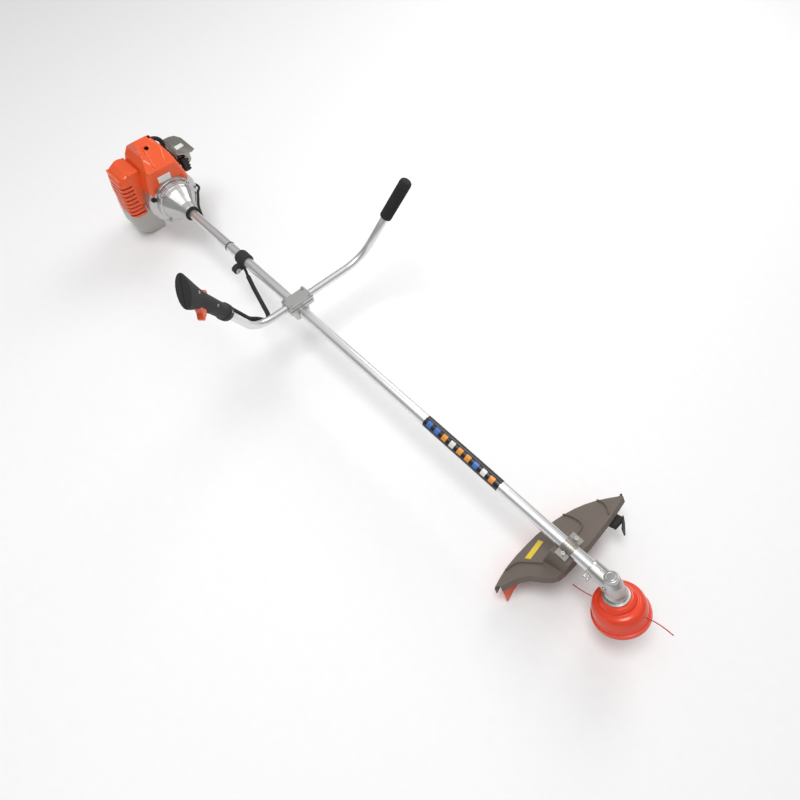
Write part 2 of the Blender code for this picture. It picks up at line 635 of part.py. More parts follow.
def throttle_controls():
    """Trigger, palm interlock and stop switch, each on its own pivot across the grip."""
    trigger = [(0.0080, 0.3225), (0.0080, 0.3120), (0.0100, 0.2930), (0.0260, 0.2935),
               (0.0400, 0.2990), (0.0385, 0.3060), (0.0270, 0.3120), (0.0210, 0.3225)]
    lever = [(-0.0100, 0.2925), (-0.0100, 0.3050), (-0.0195, 0.3050), (-0.0220, 0.3020),
             (-0.0222, 0.2980), (-0.0190, 0.2925)]
    rocker = [(-0.0125, 0.2500), (-0.0165, 0.2500), (-0.0200, 0.2520), (-0.0180, 0.2680),
              (-0.0125, 0.2680)]
    for name, outline, half, pivot in (("throttle_trigger", trigger, 0.0070, TRIGGER_PIVOT),
                                       ("throttle_interlock", lever, 0.0057, INTERLOCK_PIVOT)):
        rings = [[(x, side * half, z) for x, z in outline] for side in (-1, 1)]
        pivoted(lofted(name, rings, "orange_plastic"), pivot)
    rings = [[(side * 0.0055, y, z) for y, z in rocker] for side in (-1, 1)]
    pivoted(lofted("stop_switch", rings, "black_plastic"), SWITCH_PIVOT)


def throttle_cable():
    """The sheathed cable: along the bar's right arm, under the bar, to the hanger, the engine."""
    origin, way, front, _ = throttle_frame()
    route = [origin + way * along - front * CABLE_OFFSET for along in (0.1985, 0.160, 0.120, 0.085)]
    route += [Vector(point) for point in
              ((-0.9440, -0.1330, 0.0560), (-0.9475, -0.1120, 0.0340), (-0.9480, -0.0900, 0.0115),
               (-0.9640, -0.0740, 0.0035), (-1.0050, -0.0610, -0.0010), (-1.0700, -0.0420, -0.0070),
               (-1.1250, -0.0240, -0.0150), (-1.1600, -0.0120, -0.0195), (-1.2100, -0.0040, -0.0195),
               (-1.3000, 0.0040, -0.0192), (-1.3700, 0.0100, -0.0190), (-1.4000, 0.0170, -0.0165),
               (-1.4240, 0.0245, -0.0130), (-1.4500, 0.0355, -0.0085), (-1.4750, 0.0520, -0.0060),
               (-1.4980, 0.0665, -0.0060), (-1.5200, 0.0830, -0.0100), (-1.5600, 0.0850, -0.0250),
               (-1.5850, 0.0620, -0.0490), (-1.6000, 0.0250, -0.0562), (-1.6010, -0.0250, -0.0562),
               (-1.6010, -0.0520, -0.0440), (-1.6010, -0.0720, -0.0150), (-1.6010, -0.0820, 0.0150),
               (-1.6010, -0.0830, 0.0440))]
    cable("throttle_cable", smooth_run(route, 2), CABLE_R, "black_rubber", 2)


def strap_hanger():
    ring = turned("strap_hanger", [(-0.017, TUBE_R + GAP), (-0.017, 0.0195), (0.017, 0.0195),
                                   (0.017, TUBE_R + GAP)], "black_plastic",
                  (HANGER_X, 0, 0), X_AXIS)
    ear = extruded("hanger_ear", circle(0.0120, 12), 0.014, "black_plastic",
                   (HANGER_X - 0.003, *EAR_CENTRE), X_AXIS, Y_AXIS)
    bridge = box_between("hanger_bridge", (HANGER_X - 0.003, -0.0330, -0.0210),
                         (HANGER_X + 0.011, -0.0160, -0.0010), "black_plastic")
    join(ring, ear)
    join(ring, bridge)
    bore(ring, "hanger_clear", (HANGER_X - 0.03, 0, 0), X_AXIS, TUBE_R + GAP, 0.060)
    bore(ring, "hanger_eye", (HANGER_X - 0.03, *EAR_CENTRE), X_AXIS, 0.0056, 0.060, 16)
    bore(ring, "hanger_cable_way", (HANGER_X - 0.03, -0.0095, -0.0200), X_AXIS, 0.0066, 0.060, 12)
    bolt("strap_hanger_bolt", (HANGER_X + 0.0114, *EAR_CENTRE), X_AXIS, 0.0075, 0.0040,
         0.0052, 0.0170, steps=16)


# ---------------------------------------------------------------- engine
def clutch():
    shell = [(FLANGE_X, 0.0420), (FLANGE_X, 0.0600), (-1.4935, 0.0600), (-1.4930, 0.0550),
             (-1.4800, 0.0505), (-1.4600, 0.0365), (-1.4440, 0.0280), (CONE_FRONT, 0.0225),
             (CONE_FRONT, TUBE_R + GAP), (CONE_FRONT - TUBE_SOCKET - GAP, TUBE_R + GAP),
             (CONE_FRONT - TUBE_SOCKET - GAP, 0.0100), (-1.4660, 0.0100), (-1.4670, 0.0290),
             (-1.4780, 0.0420)]
    housing = turned("clutch_housing", shell, "cast_aluminium", (0, 0, 0), X_AXIS)
    for sy in (-1, 1):
        for sz in (-1, 1):
            lug = extruded(f"flange_lug_{sy}_{sz}", circle(0.0085, 8), 0.0070,
                           "cast_aluminium", (FLANGE_X, sy * LUG, sz * LUG), X_AXIS)
            join(housing, lug)
    drum = [(-1.4980, 0.0375), (-1.4980, 0.0395), (-1.4800, 0.0395), (-1.4790, 0.0270),
            (-1.4700, 0.0085), (-1.4700, DRIVE_R + GAP), (-1.4800, DRIVE_R + GAP),
            (-1.4815, 0.0270), (-1.4820, 0.0375)]
    turned("clutch_drum", drum, "steel", (0, 0, 0), X_AXIS, 18)
    shoe = [(0.0340 * cos(radians(a)), 0.0340 * sin(radians(a))) for a in range(-55, 56, 11)]
    inner = [(0.0230 * cos(radians(a)), 0.0230 * sin(radians(a))) for a in range(55, -56, -11)]
    shoes = extruded("clutch_shoes", shoe + inner, 0.013, "steel", (-1.4965, 0, 0), X_AXIS,
                     Y_AXIS)
    other = extruded("second_shoe", shoe + inner, 0.013, "steel", (-1.4965, 0, 0), X_AXIS,
                     -Y_AXIS)
    arm = box_between("shoe_arm", (-1.5066, -0.0260, -0.0080), (-1.4900, 0.0260, 0.0080), "steel")
    join(shoes, arm)
    join(shoes, other)


def fan_case():
    shell = [(-1.5003, 0.0440), (-1.5003, 0.0600), (-1.5130, 0.0605), (-1.5160, 0.0700),
             (-1.5200, 0.0765), (-1.5250, CASE_R), (CASE_REAR, CASE_R), (CASE_REAR, 0.0750),
             (-1.5250, 0.0750), (-1.5190, 0.0690), (-1.5160, 0.0575), (-1.5035, 0.0570),
             (-1.5035, 0.0440)]
    turned("fan_case", shell, "cast_aluminium", (0, 0, 0), X_AXIS)
    disc = [(-1.5550, 0.0080), (-1.5550, 0.0690), (-1.5490, 0.0690), (-1.5480, 0.0300),
            (-1.5250, 0.0180), (-1.5070, 0.0140), (-1.5070, 0.0080)]
    wheel = turned("flywheel", disc, "cast_aluminium", (0, 0, 0), X_AXIS, 20)
    vanes = extruded("vane_star", toothed(0.0480, 0.0680, 10), 0.0250, "cast_aluminium",
                     (-1.5520, 0, 0), X_AXIS)
    core = turned("vane_core", [(-1.5540, 0), (-1.5540, 0.0440), (-1.5200, 0.0440), (-1.5200, 0)],
                  "steel", (0, 0, 0), X_AXIS, 20)
    cut(vanes, core)
    join(wheel, vanes)


def crankcase():
    case = box_between("crankcase", (BLOCK_REAR, -0.0400, -0.0480), (BLOCK_FRONT, 0.0400, 0.0400),
                       "cast_aluminium", 0.006)
    bore(case, "crank_room", (BLOCK_REAR + 0.010, 0, 0), X_AXIS, 0.0310, 0.058)
    bore(case, "crank_bearings", (BLOCK_REAR - 0.010, 0, 0), X_AXIS, 0.0081, 0.100, 16)
    bore(case, "barrel_way", (CYLINDER_X, 0, 0.0), Z_AXIS, PISTON_R + 0.0006, 0.060, 24)

    shaft = [(-1.6500, 0), (-1.6500, 0.0077), (-1.6230, 0.0077), (-1.6230, 0.0280),
             (-1.6090, 0.0280), (-1.6090, 0)]
    crank = turned("crankshaft", shaft, "steel", (0, 0, 0), X_AXIS, 16)
    front = [(-1.5930, 0), (-1.5930, 0.0280), (-1.5790, 0.0280), (-1.5790, 0.0077),
             (-1.5075, 0.0077), (-1.5075, 0)]
    join(crank, turned("crank_front", front, "steel", (0, 0, 0), X_AXIS, 16))
    pin = [(-1.6110, 0), (-1.6110, 0.0055), (-1.5910, 0.0055), (-1.5910, 0)]
    join(crank, turned("crank_pin", pin, "steel", (0, 0, 0.0150), X_AXIS, 12))


def cylinder():
    fins, pitch, thick, core = 5, 0.0110, 0.0032, 0.0255
    low = 0.0403
    outline = [(low, PISTON_R + 0.0004), (low, core + 0.006), (low + 0.004, core + 0.006),
               (low + 0.004, core)]
    for i in range(fins):
        base = low + 0.0070 + pitch * i
        outline += [(base, core), (base, CYLINDER_FIN_R), (base + thick, CYLINDER_FIN_R),
                    (base + thick, core)]
    top = low + 0.0070 + pitch * fins
    outline += [(top, core), (top, 0), (top - 0.006, 0), (top - 0.006, PISTON_R + 0.0004)]
    turned("cylinder", outline, "cast_aluminium", (CYLINDER_X, 0, 0), Z_AXIS, 16)
    piston = [(0.0620, 0.0165), (0.0620, PISTON_R), (0.0930, PISTON_R), (0.0940, 0.0170),
              (0.0940, 0), (0.0890, 0), (0.0890, 0.0165)]
    turned("piston", piston, "cast_aluminium", (CYLINDER_X, 0, 0), Z_AXIS, 16)
    plug = [(top + 0.0003, 0), (top + 0.0003, 0.0090), (top + 0.006, 0.0090), (top + 0.006, 0.0055),
            (top + 0.013, 0.0045), (top + 0.013, 0)]
    turned("spark_plug", plug, "steel", (CYLINDER_X, 0, 0), Z_AXIS, 12)
    return top


def hood(name, inset):
    """The shroud's tapering block before its roof is sliced off; inset gives the hollow."""
    rear, front = -1.6450 + inset, -1.5130 - inset
    rings = []
    for z, right, left in ((0.0280, -0.0680, 0.0660), (0.0600, -0.0620, 0.0600),
                           (0.0920, -0.0560, 0.0490), (0.1100, -0.0500, 0.0430),
                           (0.1300, -0.0360, 0.0360), (0.1580, -0.0260, 0.0180)):
        outline = rounded_rectangle(front - rear, left - right - 2 * inset, 0.012 - inset,
                                    3, ((front + rear) / 2, (left + right) / 2))
        rings.append([(x, y, z) for x, y in outline])
    if inset:
        rings[0] = [(x, y, 0.0200) for x, y, z in rings[0]]
    return lofted(name, rings, "orange_plastic")


def covers():
    """Top shroud over the cylinder and the louvred cover on the right side."""
    shroud = hood("top_shroud", 0.0)
    hollow = hood("shroud_hollow", SHROUD_WALL)
    for target, drop in ((shroud, 0.0), (hollow, SHROUD_WALL)):
        ridge = Matrix.Translation((SHROUD_RIDGE[0], 0, SHROUD_RIDGE[1] - drop))
        cut(target, box_between(target.name + "_roof", (-0.0200, -0.1200, 0),
                                (0.1600, 0.1200, 0.1000), "steel",
                                place=ridge @ Matrix.Rotation(ROOF_SLOPE, 4, "Y")))
        cut(target, box_between(target.name + "_back", (-0.1600, -0.1200, 0),
                                (0.0200, 0.1200, 0.1000), "steel",
                                place=ridge @ Matrix.Rotation(-BACK_SLOPE, 4, "Y")))
    cut(shroud, hollow)
    clear = [(-1.5610, 0), (-1.5610, CASE_R + 0.0004), (-1.5245, CASE_R + 0.0004),
             (-1.5194, 0.0772), (-1.5153, 0.0705), (-1.5124, 0.0609), (-1.4900, 0.0609),
             (-1.4900, 0)]
    cut(shroud, turned("fan_clear", clear, "steel", (0, 0, 0), X_AXIS))
    notch = box_between("plug_notch", (-1.6270, 0.0160, 0.1150), (-1.5920, 0.0700, 0.1700), "steel")
    cut(shroud, notch)
    bore(shroud, "intake_way", (-1.6015, -0.0900, 0.0600), Y_AXIS, 0.0125, 0.0450, 16)

    cover = side_shape("side_cover", 0.0)
    cut(cover, side_shape("side_hollow", 0.0025))
    slots, first, pitch, height = 8, -0.0290, 0.0130, 0.0048
    for i in range(slots):
        z = first + pitch * i
        slot = box_between(f"louvre_{i}", (-1.6200, -0.1400, z), (-1.5500, -0.0800, z + height),
                           "steel")
        cut(slot, box_between(f"louvre_core_{i}", (-1.6300, -0.1130, z - 0.001),
                              (-1.5725, -0.0700, z + height + 0.001), "steel"))
        cut(cover, slot)


def side_shape(name, inset):
    """The right-hand cover's rounded box: inset 0 gives the outside, more gives the hollow."""
    rings = []
    rear, open_side = COVER_REAR, 0.0100 if inset else 0.0
    for z, right, left, front in ((-0.0400, -0.1190, -0.0720, -1.5640),
                                  (-0.0300, -0.1245, -0.0720, -1.5600),
                                  (0.0400, -0.1250, -0.0720, -1.5600),
                                  (0.0760, -0.1210, -0.0720, -1.5600),
                                  (0.0930, -0.1100, -0.0660, -1.5620),
                                  (0.1020, -0.0930, -0.0620, -1.5680)):
        width, depth = front - rear - 2 * inset, left - right - inset + open_side
        middle = ((front + rear) / 2, (left + right + inset + open_side) / 2)
        outline = rounded_rectangle(width, depth, COVER_CORNER - inset, 3, middle)
        rings.append([(x, y, z) for x, y in outline])
    if inset:
        rings[0] = [(x, y, z + inset) for x, y, z in rings[0]]
        rings[-1] = [(x, y, z - inset) for x, y, z in rings[-1]]
    return lofted(name, rings, "orange_plastic")


def intake_side():
    """Carburettor, air filter and choke lever behind the right-hand cover."""
    body = box_between("carburettor", (-1.6180, -0.0980, 0.0450), (-1.5850, -0.0695, 0.0740),
                       "cast_aluminium", 0.003)
    stub = turned("intake_stub", [(0, 0), (0, 0.0115), (0.0390, 0.0115), (0.0390, 0)],
                  "cast_aluminium", (-1.6015, -0.0750, 0.0600), Y_AXIS, 16)
    join(body, stub)
    bore(body, "throttle_bore", (-1.6015, -0.1100, 0.0600), Y_AXIS, 0.0065, 0.100, 12)
    box_between("air_filter", (-1.6270, -0.1120, 0.0280), (-1.5760, -0.0985, 0.0700),
                "filter_foam", 0.003)
    extruded("choke_lever", [(-0.0040, -0.0040), (0.0040, -0.0040), (0.0036, 0.0220),
                             (-0.0036, 0.0220)], 0.0030, "black_plastic",
             (COVER_REAR - 0.0033, -0.1000, 0.0150), X_AXIS, Y_AXIS)


def tank():
    width = TANK_LEFT - TANK_RIGHT
    shapes = {}
    for name, inset in (("fuel_tank", 0.0), ("tank_hollow", 0.0025)):
        profile = [(TANK_RIGHT + inset, -0.0430 - inset)]
        corner = 0.062
        centre = (TANK_RIGHT + corner, -FOOT_DROP + corner)
        profile += [(centre[0] + (corner - inset) * cos(radians(a)),
                     centre[1] + (corner - inset) * sin(radians(a))) for a in range(185, 271, 17)]
        profile += [(TANK_LEFT - 0.020, -FOOT_DROP + inset), (TANK_LEFT - inset, -0.1450),
                    (TANK_LEFT - inset, -0.0640 - inset), (-0.0640 - inset, -0.0640 - inset),
                    (-0.0640 - inset, -0.0430 - inset)]
        shapes[name] = extruded(name, profile, TANK_FRONT - TANK_REAR - 2 * inset,
                                "tank_plastic", (TANK_REAR + inset, 0, 0), X_AXIS, Y_AXIS)
        cut(shapes[name], box_between(name + "_step", (-1.6720 - inset, TANK_CORNER_Y - inset, -0.2),
                                      (-1.6000, width, 0.0), "steel"))
        cut(shapes[name], box_between(name + "_waist", (-1.8000, -width, -0.2),
                                      (TANK_WAIST_X + inset, TANK_WAIST_Y + inset, 0.0), "steel"))
    body = shapes["fuel_tank"]
    neck = turned("filler_neck", [(0, 0), (0, 0.0125), (0.0090, 0.0125), (0.0090, 0)],
                  "tank_plastic", (*FILLER, -0.0660), Z_AXIS, 24)
    join(body, neck)
    cut(body, shapes["tank_hollow"])
    bore(body, "filler_hole", (*FILLER, -0.0750), Z_AXIS, 0.0095, 0.030, 24)
    cap = [(-0.0640, 0.0128), (-0.0640, 0.0165), (-0.0540, 0.0165), (-0.0520, 0.0150),
           (-0.0520, 0), (-0.0565, 0), (-0.0565, 0.0128)]
    turned("fuel_cap", [(z + 0.0640, r) for z, r in cap], "black_plastic",
           (*FILLER, -0.0636), Z_AXIS, 20)


def exhaust_side():
    """Muffler, its shield, the ignition coil and the plug's cap and lead on the left side."""
    box_between("muffler", (-1.6260, 0.0690, 0.0420), (-1.5640, 0.1100, 0.0920),
                "muffler_steel", 0.006)
    top, wall = 0.1000, 0.0016
    plate = [(-1.6330, 0.0560), (-1.6330, 0.0880), (-1.6270, 0.1030), (-1.6050, 0.1130),
             (-1.5340, 0.1130), (-1.5275, 0.1000), (-1.5310, 0.0860), (-1.5420, 0.0600)]
    shield = extruded("muffler_shield", plate, wall, "muffler_steel", (0, 0, top - wall))
    lip = box_between("shield_lip", (-1.6330, 0.0560, 0.0893), (-1.5420, 0.0576, top - wall / 2),
                      "muffler_steel")
    join(shield, lip)
    box_between("ignition_coil", (-1.5620, 0.0680, 0.0380), (-1.5400, 0.0880, 0.0800),
                "black_plastic", 0.003)


def spark_lead():
    cap_route = [(-1.5980, 0.0000, 0.1235), (-1.6010, 0.0090, 0.1340), (-1.6060, 0.0240, 0.1360),
                 (-1.6080, 0.0410, 0.1310), (-1.6050, 0.0520, 0.1200)]
    lead_route = [(-1.6000, 0.0545, 0.1060), (-1.5920, 0.0515, 0.0940), (-1.5780, 0.0565, 0.0820),
                  (-1.5640, 0.0590, 0.0780), (-1.5530, 0.0595, 0.0758), (-1.5510, 0.0668, 0.0745)]
    steps = 3
    run = smooth_run(cap_route + lead_route, steps)
    made = cable("spark_plug_cap", run, SPARK_CAP_R, "black_rubber", 2)
    for i, slot in enumerate(made.data.splines[0].points):
        along = i / steps - len(cap_route) + 0.5
        thin = min(1.0, max(0.0, along))
        slot.radius = 1.0 - thin * (1.0 - SPARK_LEAD_SHARE)


def starter():
    case = [(STARTER_REAR + 0.0030, 0), (STARTER_REAR, 0.0200), (STARTER_REAR, 0.0480),
            (STARTER_REAR + 0.0060, 0.0560), (STARTER_REAR + 0.0180, STARTER_R),
            (BLOCK_REAR - 0.0060, STARTER_R), (BLOCK_REAR - 0.0060, STARTER_R - 0.0025),
            (STARTER_REAR + 0.0180, STARTER_R - 0.0028), (STARTER_REAR + 0.0080, 0.0530),
            (STARTER_REAR + 0.0030, 0.0470), (STARTER_REAR + 0.0055, 0.0200),
            (STARTER_REAR + 0.0055, 0)]
    turned("starter_case", case, "orange_plastic", (0, 0, 0), X_AXIS)
    pull = Vector((0, 0.6, 0.8))
    grip = [(0.0, 0), (0.0, 0.0060), (0.0100, 0.0070), (0.0130, 0.0100), (0.0190, 0.0100),
            (0.0210, 0.0080), (0.0210, 0)]
    rest = Vector((STARTER_X, 0, 0)) + pull * (STARTER_R + 0.0006)
    handle = turned("starter_handle", grip, "black_plastic", rest, pull, 12)
    bar = box_between("starter_bar", (-0.0170, -0.0065, 0.0140), (0.0170, 0.0065, 0.0240),
                      "black_plastic", 0.003, frame_matrix(rest, pull, X_AXIS))
    join(handle, bar)


# ---------------------------------------------------------------- build
def build():
    tube_and_drive()
    gear_head()
    trimmer_head()
    guard()
    guard_extension()
    line_blade()
    handlebar()
    handle_clamp()
    throttle_grip()
    throttle_controls()
    throttle_cable()
    strap_hanger()
    clutch()
    fan_case()
    crankcase()
    cylinder()
    covers()
    intake_side()
    tank()
    exhaust_side()
    spark_lead()
    starter()


build()
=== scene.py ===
"""Looks of the brush cutter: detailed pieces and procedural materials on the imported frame.

Places are given in the shaft tube's frame, as the CAD is laid out: x from the tube's front
end, y to the operator's left, z up from the tube's axis. at() turns them into the row frame
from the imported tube's own box.
"""

import json
from math import cos, pi, radians, sin

import bmesh
import bpy
from mathutils import Matrix, Vector
from mathutils.bvhtree import BVHTree


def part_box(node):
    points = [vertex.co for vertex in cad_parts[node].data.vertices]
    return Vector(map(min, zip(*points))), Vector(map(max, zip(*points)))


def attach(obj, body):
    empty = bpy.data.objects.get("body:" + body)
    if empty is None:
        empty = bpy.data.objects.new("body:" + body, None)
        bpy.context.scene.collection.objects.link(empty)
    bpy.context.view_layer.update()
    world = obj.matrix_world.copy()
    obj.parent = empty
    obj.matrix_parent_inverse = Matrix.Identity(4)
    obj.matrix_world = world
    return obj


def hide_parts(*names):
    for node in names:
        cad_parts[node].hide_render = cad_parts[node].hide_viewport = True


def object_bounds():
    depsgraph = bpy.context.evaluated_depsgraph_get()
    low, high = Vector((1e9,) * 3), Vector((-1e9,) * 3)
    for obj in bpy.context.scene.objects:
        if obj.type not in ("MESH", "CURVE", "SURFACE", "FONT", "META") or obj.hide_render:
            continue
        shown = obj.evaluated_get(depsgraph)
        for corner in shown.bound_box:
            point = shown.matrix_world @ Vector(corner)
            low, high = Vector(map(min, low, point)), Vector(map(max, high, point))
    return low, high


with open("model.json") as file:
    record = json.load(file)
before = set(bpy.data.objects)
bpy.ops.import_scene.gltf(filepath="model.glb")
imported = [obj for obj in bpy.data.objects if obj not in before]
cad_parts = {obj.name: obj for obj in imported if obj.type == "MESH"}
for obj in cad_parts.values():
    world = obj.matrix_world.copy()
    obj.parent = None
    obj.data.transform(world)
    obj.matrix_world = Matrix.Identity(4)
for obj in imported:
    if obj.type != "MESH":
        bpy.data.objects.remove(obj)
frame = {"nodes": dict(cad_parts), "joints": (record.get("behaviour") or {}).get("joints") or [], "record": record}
CAD_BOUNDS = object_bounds()
NODES = frame["nodes"]
JOINTS = {joint["name"]: joint for joint in frame["joints"]}
SLOT_OF = {part["node"]: part["material_slot"] for part in frame["record"]["subparts"]}
BODY_OF = {node: body for body, members in frame["record"]["behaviour"]["bodies"].items()
           for node in members}

X_AXIS, Y_AXIS, Z_AXIS = Vector((1, 0, 0)), Vector((0, 1, 0)), Vector((0, 0, 1))

TUBE_LOW, TUBE_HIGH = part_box("shaft_tube")
TUBE_R = (TUBE_HIGH.z - TUBE_LOW.z) / 2
TUBE_IN_CASE = 0.026            # tube length hidden in the gear case
FRONT_X = TUBE_HIGH.x - TUBE_IN_CASE
AXIS_Z = (TUBE_LOW.z + TUBE_HIGH.z) / 2
PROUD = 0.0004                  # how far a sticker stands off its surface

HEAD_POINT = Vector(JOINTS["head_turn"]["pos_m"])
HEAD_AXIS = Vector(JOINTS["head_turn"]["axis"]).normalized()
HEAD_BACK = Y_AXIS.cross(HEAD_AXIS)


def at(x, y, z):
    """A point of the tube's frame in the row frame."""
    return Vector((FRONT_X + x, y, AXIS_Z + z))


IN_TUBE_FRAME = Matrix.Translation(at(0, 0, 0))


def on_head(back, side, along):
    """A point behind the head's axis, to the left, and down along the axis."""
    return HEAD_POINT + HEAD_BACK * back + Y_AXIS * side + HEAD_AXIS * along


# ---------------------------------------------------------------- camera, floor and light
CAMERA_AT = at(0.0165, -0.5301, 1.2284)
CAMERA_RIGHT = Vector((0.6887, 0.7250, -0.0061))
CAMERA_UP = Vector((-0.6121, 0.5859, 0.5310))
LENS_MM, SENSOR_MM = 27.9, 36.0
FLOOR_HALF = 30
FLOOR_DROP = 0.0005             # keeps the floor just clear of the tank's foot


def camera():
    lens = bpy.data.cameras.new("studio_camera")
    lens.lens = LENS_MM
    lens.sensor_width = SENSOR_MM
    eye = bpy.data.objects.new("studio_camera", lens)
    back = CAMERA_RIGHT.cross(CAMERA_UP).normalized()
    right = CAMERA_UP.cross(back).normalized()
    turn = Matrix((right, back.cross(right), back)).transposed()
    eye.matrix_world = Matrix.Translation(CAMERA_AT) @ turn.to_4x4()
    bpy.context.scene.collection.objects.link(eye)
    bpy.context.scene.camera = eye


def area_light(name, place, aim, size, power):
    lamp = bpy.data.lights.new(name, "AREA")
    lamp.shape = "DISK"
    lamp.size = size
    lamp.energy = power
    made = bpy.data.objects.new(name, lamp)
    made.location = place
    made.rotation_euler = (Vector(aim) - Vector(place)).to_track_quat("-Z", "Y").to_euler()
    bpy.context.scene.collection.objects.link(made)


def studio():
    """A pale floor, a sky that brightens upwards and two large soft lights."""
    bm = bmesh.new()
    bmesh.ops.create_grid(bm, x_segments=1, y_segments=1, size=FLOOR_HALF)
    mesh = bpy.data.meshes.new("studio_floor")
    bm.to_mesh(mesh)
    bm.free()
    floor = bpy.data.objects.new("studio_floor", mesh)
    floor.location.z = CAD_BOUNDS[0][2] - FLOOR_DROP
    bpy.context.scene.collection.objects.link(floor)
    mesh.materials.append(material("floor_paint", FLOOR))

    world = bpy.data.worlds.new("studio_sky")
    bpy.context.scene.world = world
    world.use_nodes = True
    nodes, links = world.node_tree.nodes, world.node_tree.links
    height = nodes.new("ShaderNodeSeparateXYZ")
    links.new(nodes.new("ShaderNodeTexCoord").outputs["Generated"], height.inputs["Vector"])
    fade = nodes.new("ShaderNodeValToRGB")
    horizon, overhead = fade.color_ramp.elements
    horizon.position = 0.05
    horizon.color = (0.16, 0.16, 0.17, 1)
    overhead.position = 0.85
    overhead.color = (1, 1, 1, 1)
    links.new(height.outputs["Z"], fade.inputs["Fac"])
    links.new(fade.outputs["Color"], nodes["Background"].inputs["Color"])
    nodes["Background"].inputs["Strength"].default_value = 0.66
    area_light("key_light", (1.2, -0.6, 3.4), (0.8, 0.1, 0.1), 1.5, 54)
    area_light("back_light", (0.2, 2.6, 2.2), (0.8, 0.2, 0.1), 1.8, 32)
    bpy.context.scene.view_settings.view_transform = "Standard"


# ---------------------------------------------------------------- materials
# colour, roughness, metallic, grain size per metre, grain depth in metres, mottling,
# stretch of the grain along x, y, z, and any further Principled inputs
FLOOR = ((0.93, 0.93, 0.93), 0.7, 0.0, 90, 0.00002, 0.01, (1, 1, 1), {})
LOOKS = {
    "orange_plastic": ((0.84, 0.085, 0.022), 0.34, 0.0, 1100, 0.000012, 0.07, (1, 1, 1),
                       {"Coat Weight": 0.25, "Coat Roughness": 0.22}),
    "orange_gloss": ((0.78, 0.048, 0.018), 0.20, 0.0, 700, 0.000008, 0.06, (1, 1, 1),
                     {"Coat Weight": 0.5, "Coat Roughness": 0.10}),
    "black_plastic": ((0.005, 0.005, 0.005), 0.42, 0.0, 1900, 0.00004, 0.15, (1, 1, 1),
                      {"Specular IOR Level": 0.06}),
    "taupe_plastic": ((0.150, 0.122, 0.103), 0.46, 0.0, 1700, 0.00004, 0.10, (1, 1, 1), {}),
    "tank_plastic": ((0.62, 0.62, 0.60), 0.36, 0.0, 900, 0.00002, 0.06, (1, 1, 1),
                     {"Transmission Weight": 0.25, "Subsurface Weight": 0.25,
                      "Subsurface Scale": 0.01}),
    "cast_aluminium": ((0.46, 0.46, 0.45), 0.66, 0.35, 1300, 0.00009, 0.12, (1, 1, 1), {}),
    "anodised_tube": ((0.70, 0.70, 0.69), 0.30, 0.92, 1200, 0.00001, 0.06, (0.02, 1, 1), {}),
    "steel": ((0.62, 0.61, 0.59), 0.27, 1.0, 1500, 0.00001, 0.10, (1, 1, 0.1), {}),
    "muffler_steel": ((0.34, 0.32, 0.29), 0.45, 0.85, 900, 0.00004, 0.30, (0.08, 1, 1), {}),
    "black_rubber": ((0.004, 0.004, 0.004), 0.45, 0.0, 2300, 0.00003, 0.20, (1, 1, 1),
                     {"Specular IOR Level": 0.06}),
    "line_red": ((0.52, 0.016, 0.014), 0.33, 0.0, 1500, 0.00001, 0.10, (1, 1, 1), {}),
    "filter_foam": ((0.07, 0.07, 0.075), 0.9, 0.0, 900, 0.0004, 0.30, (1, 1, 1), {}),
}
STICKER_WHITE = ((0.78, 0.76, 0.73), 0.30, 0.0, 800, 0.000005, 0.08, (1, 1, 1), {})
STICKER_YELLOW = ((0.80, 0.60, 0.05), 0.32, 0.0, 800, 0.000005, 0.08, (1, 1, 1), {})
STICKER_BLUE = ((0.05, 0.16, 0.50), 0.30, 0.0, 800, 0.000005, 0.08, (1, 1, 1), {})
STICKER_ORANGE = ((0.80, 0.30, 0.03), 0.30, 0.0, 800, 0.000005, 0.08, (1, 1, 1), {})
STICKER_DARK = ((0.012, 0.012, 0.016), 0.30, 0.0, 800, 0.000005, 0.12, (1, 1, 1), {})


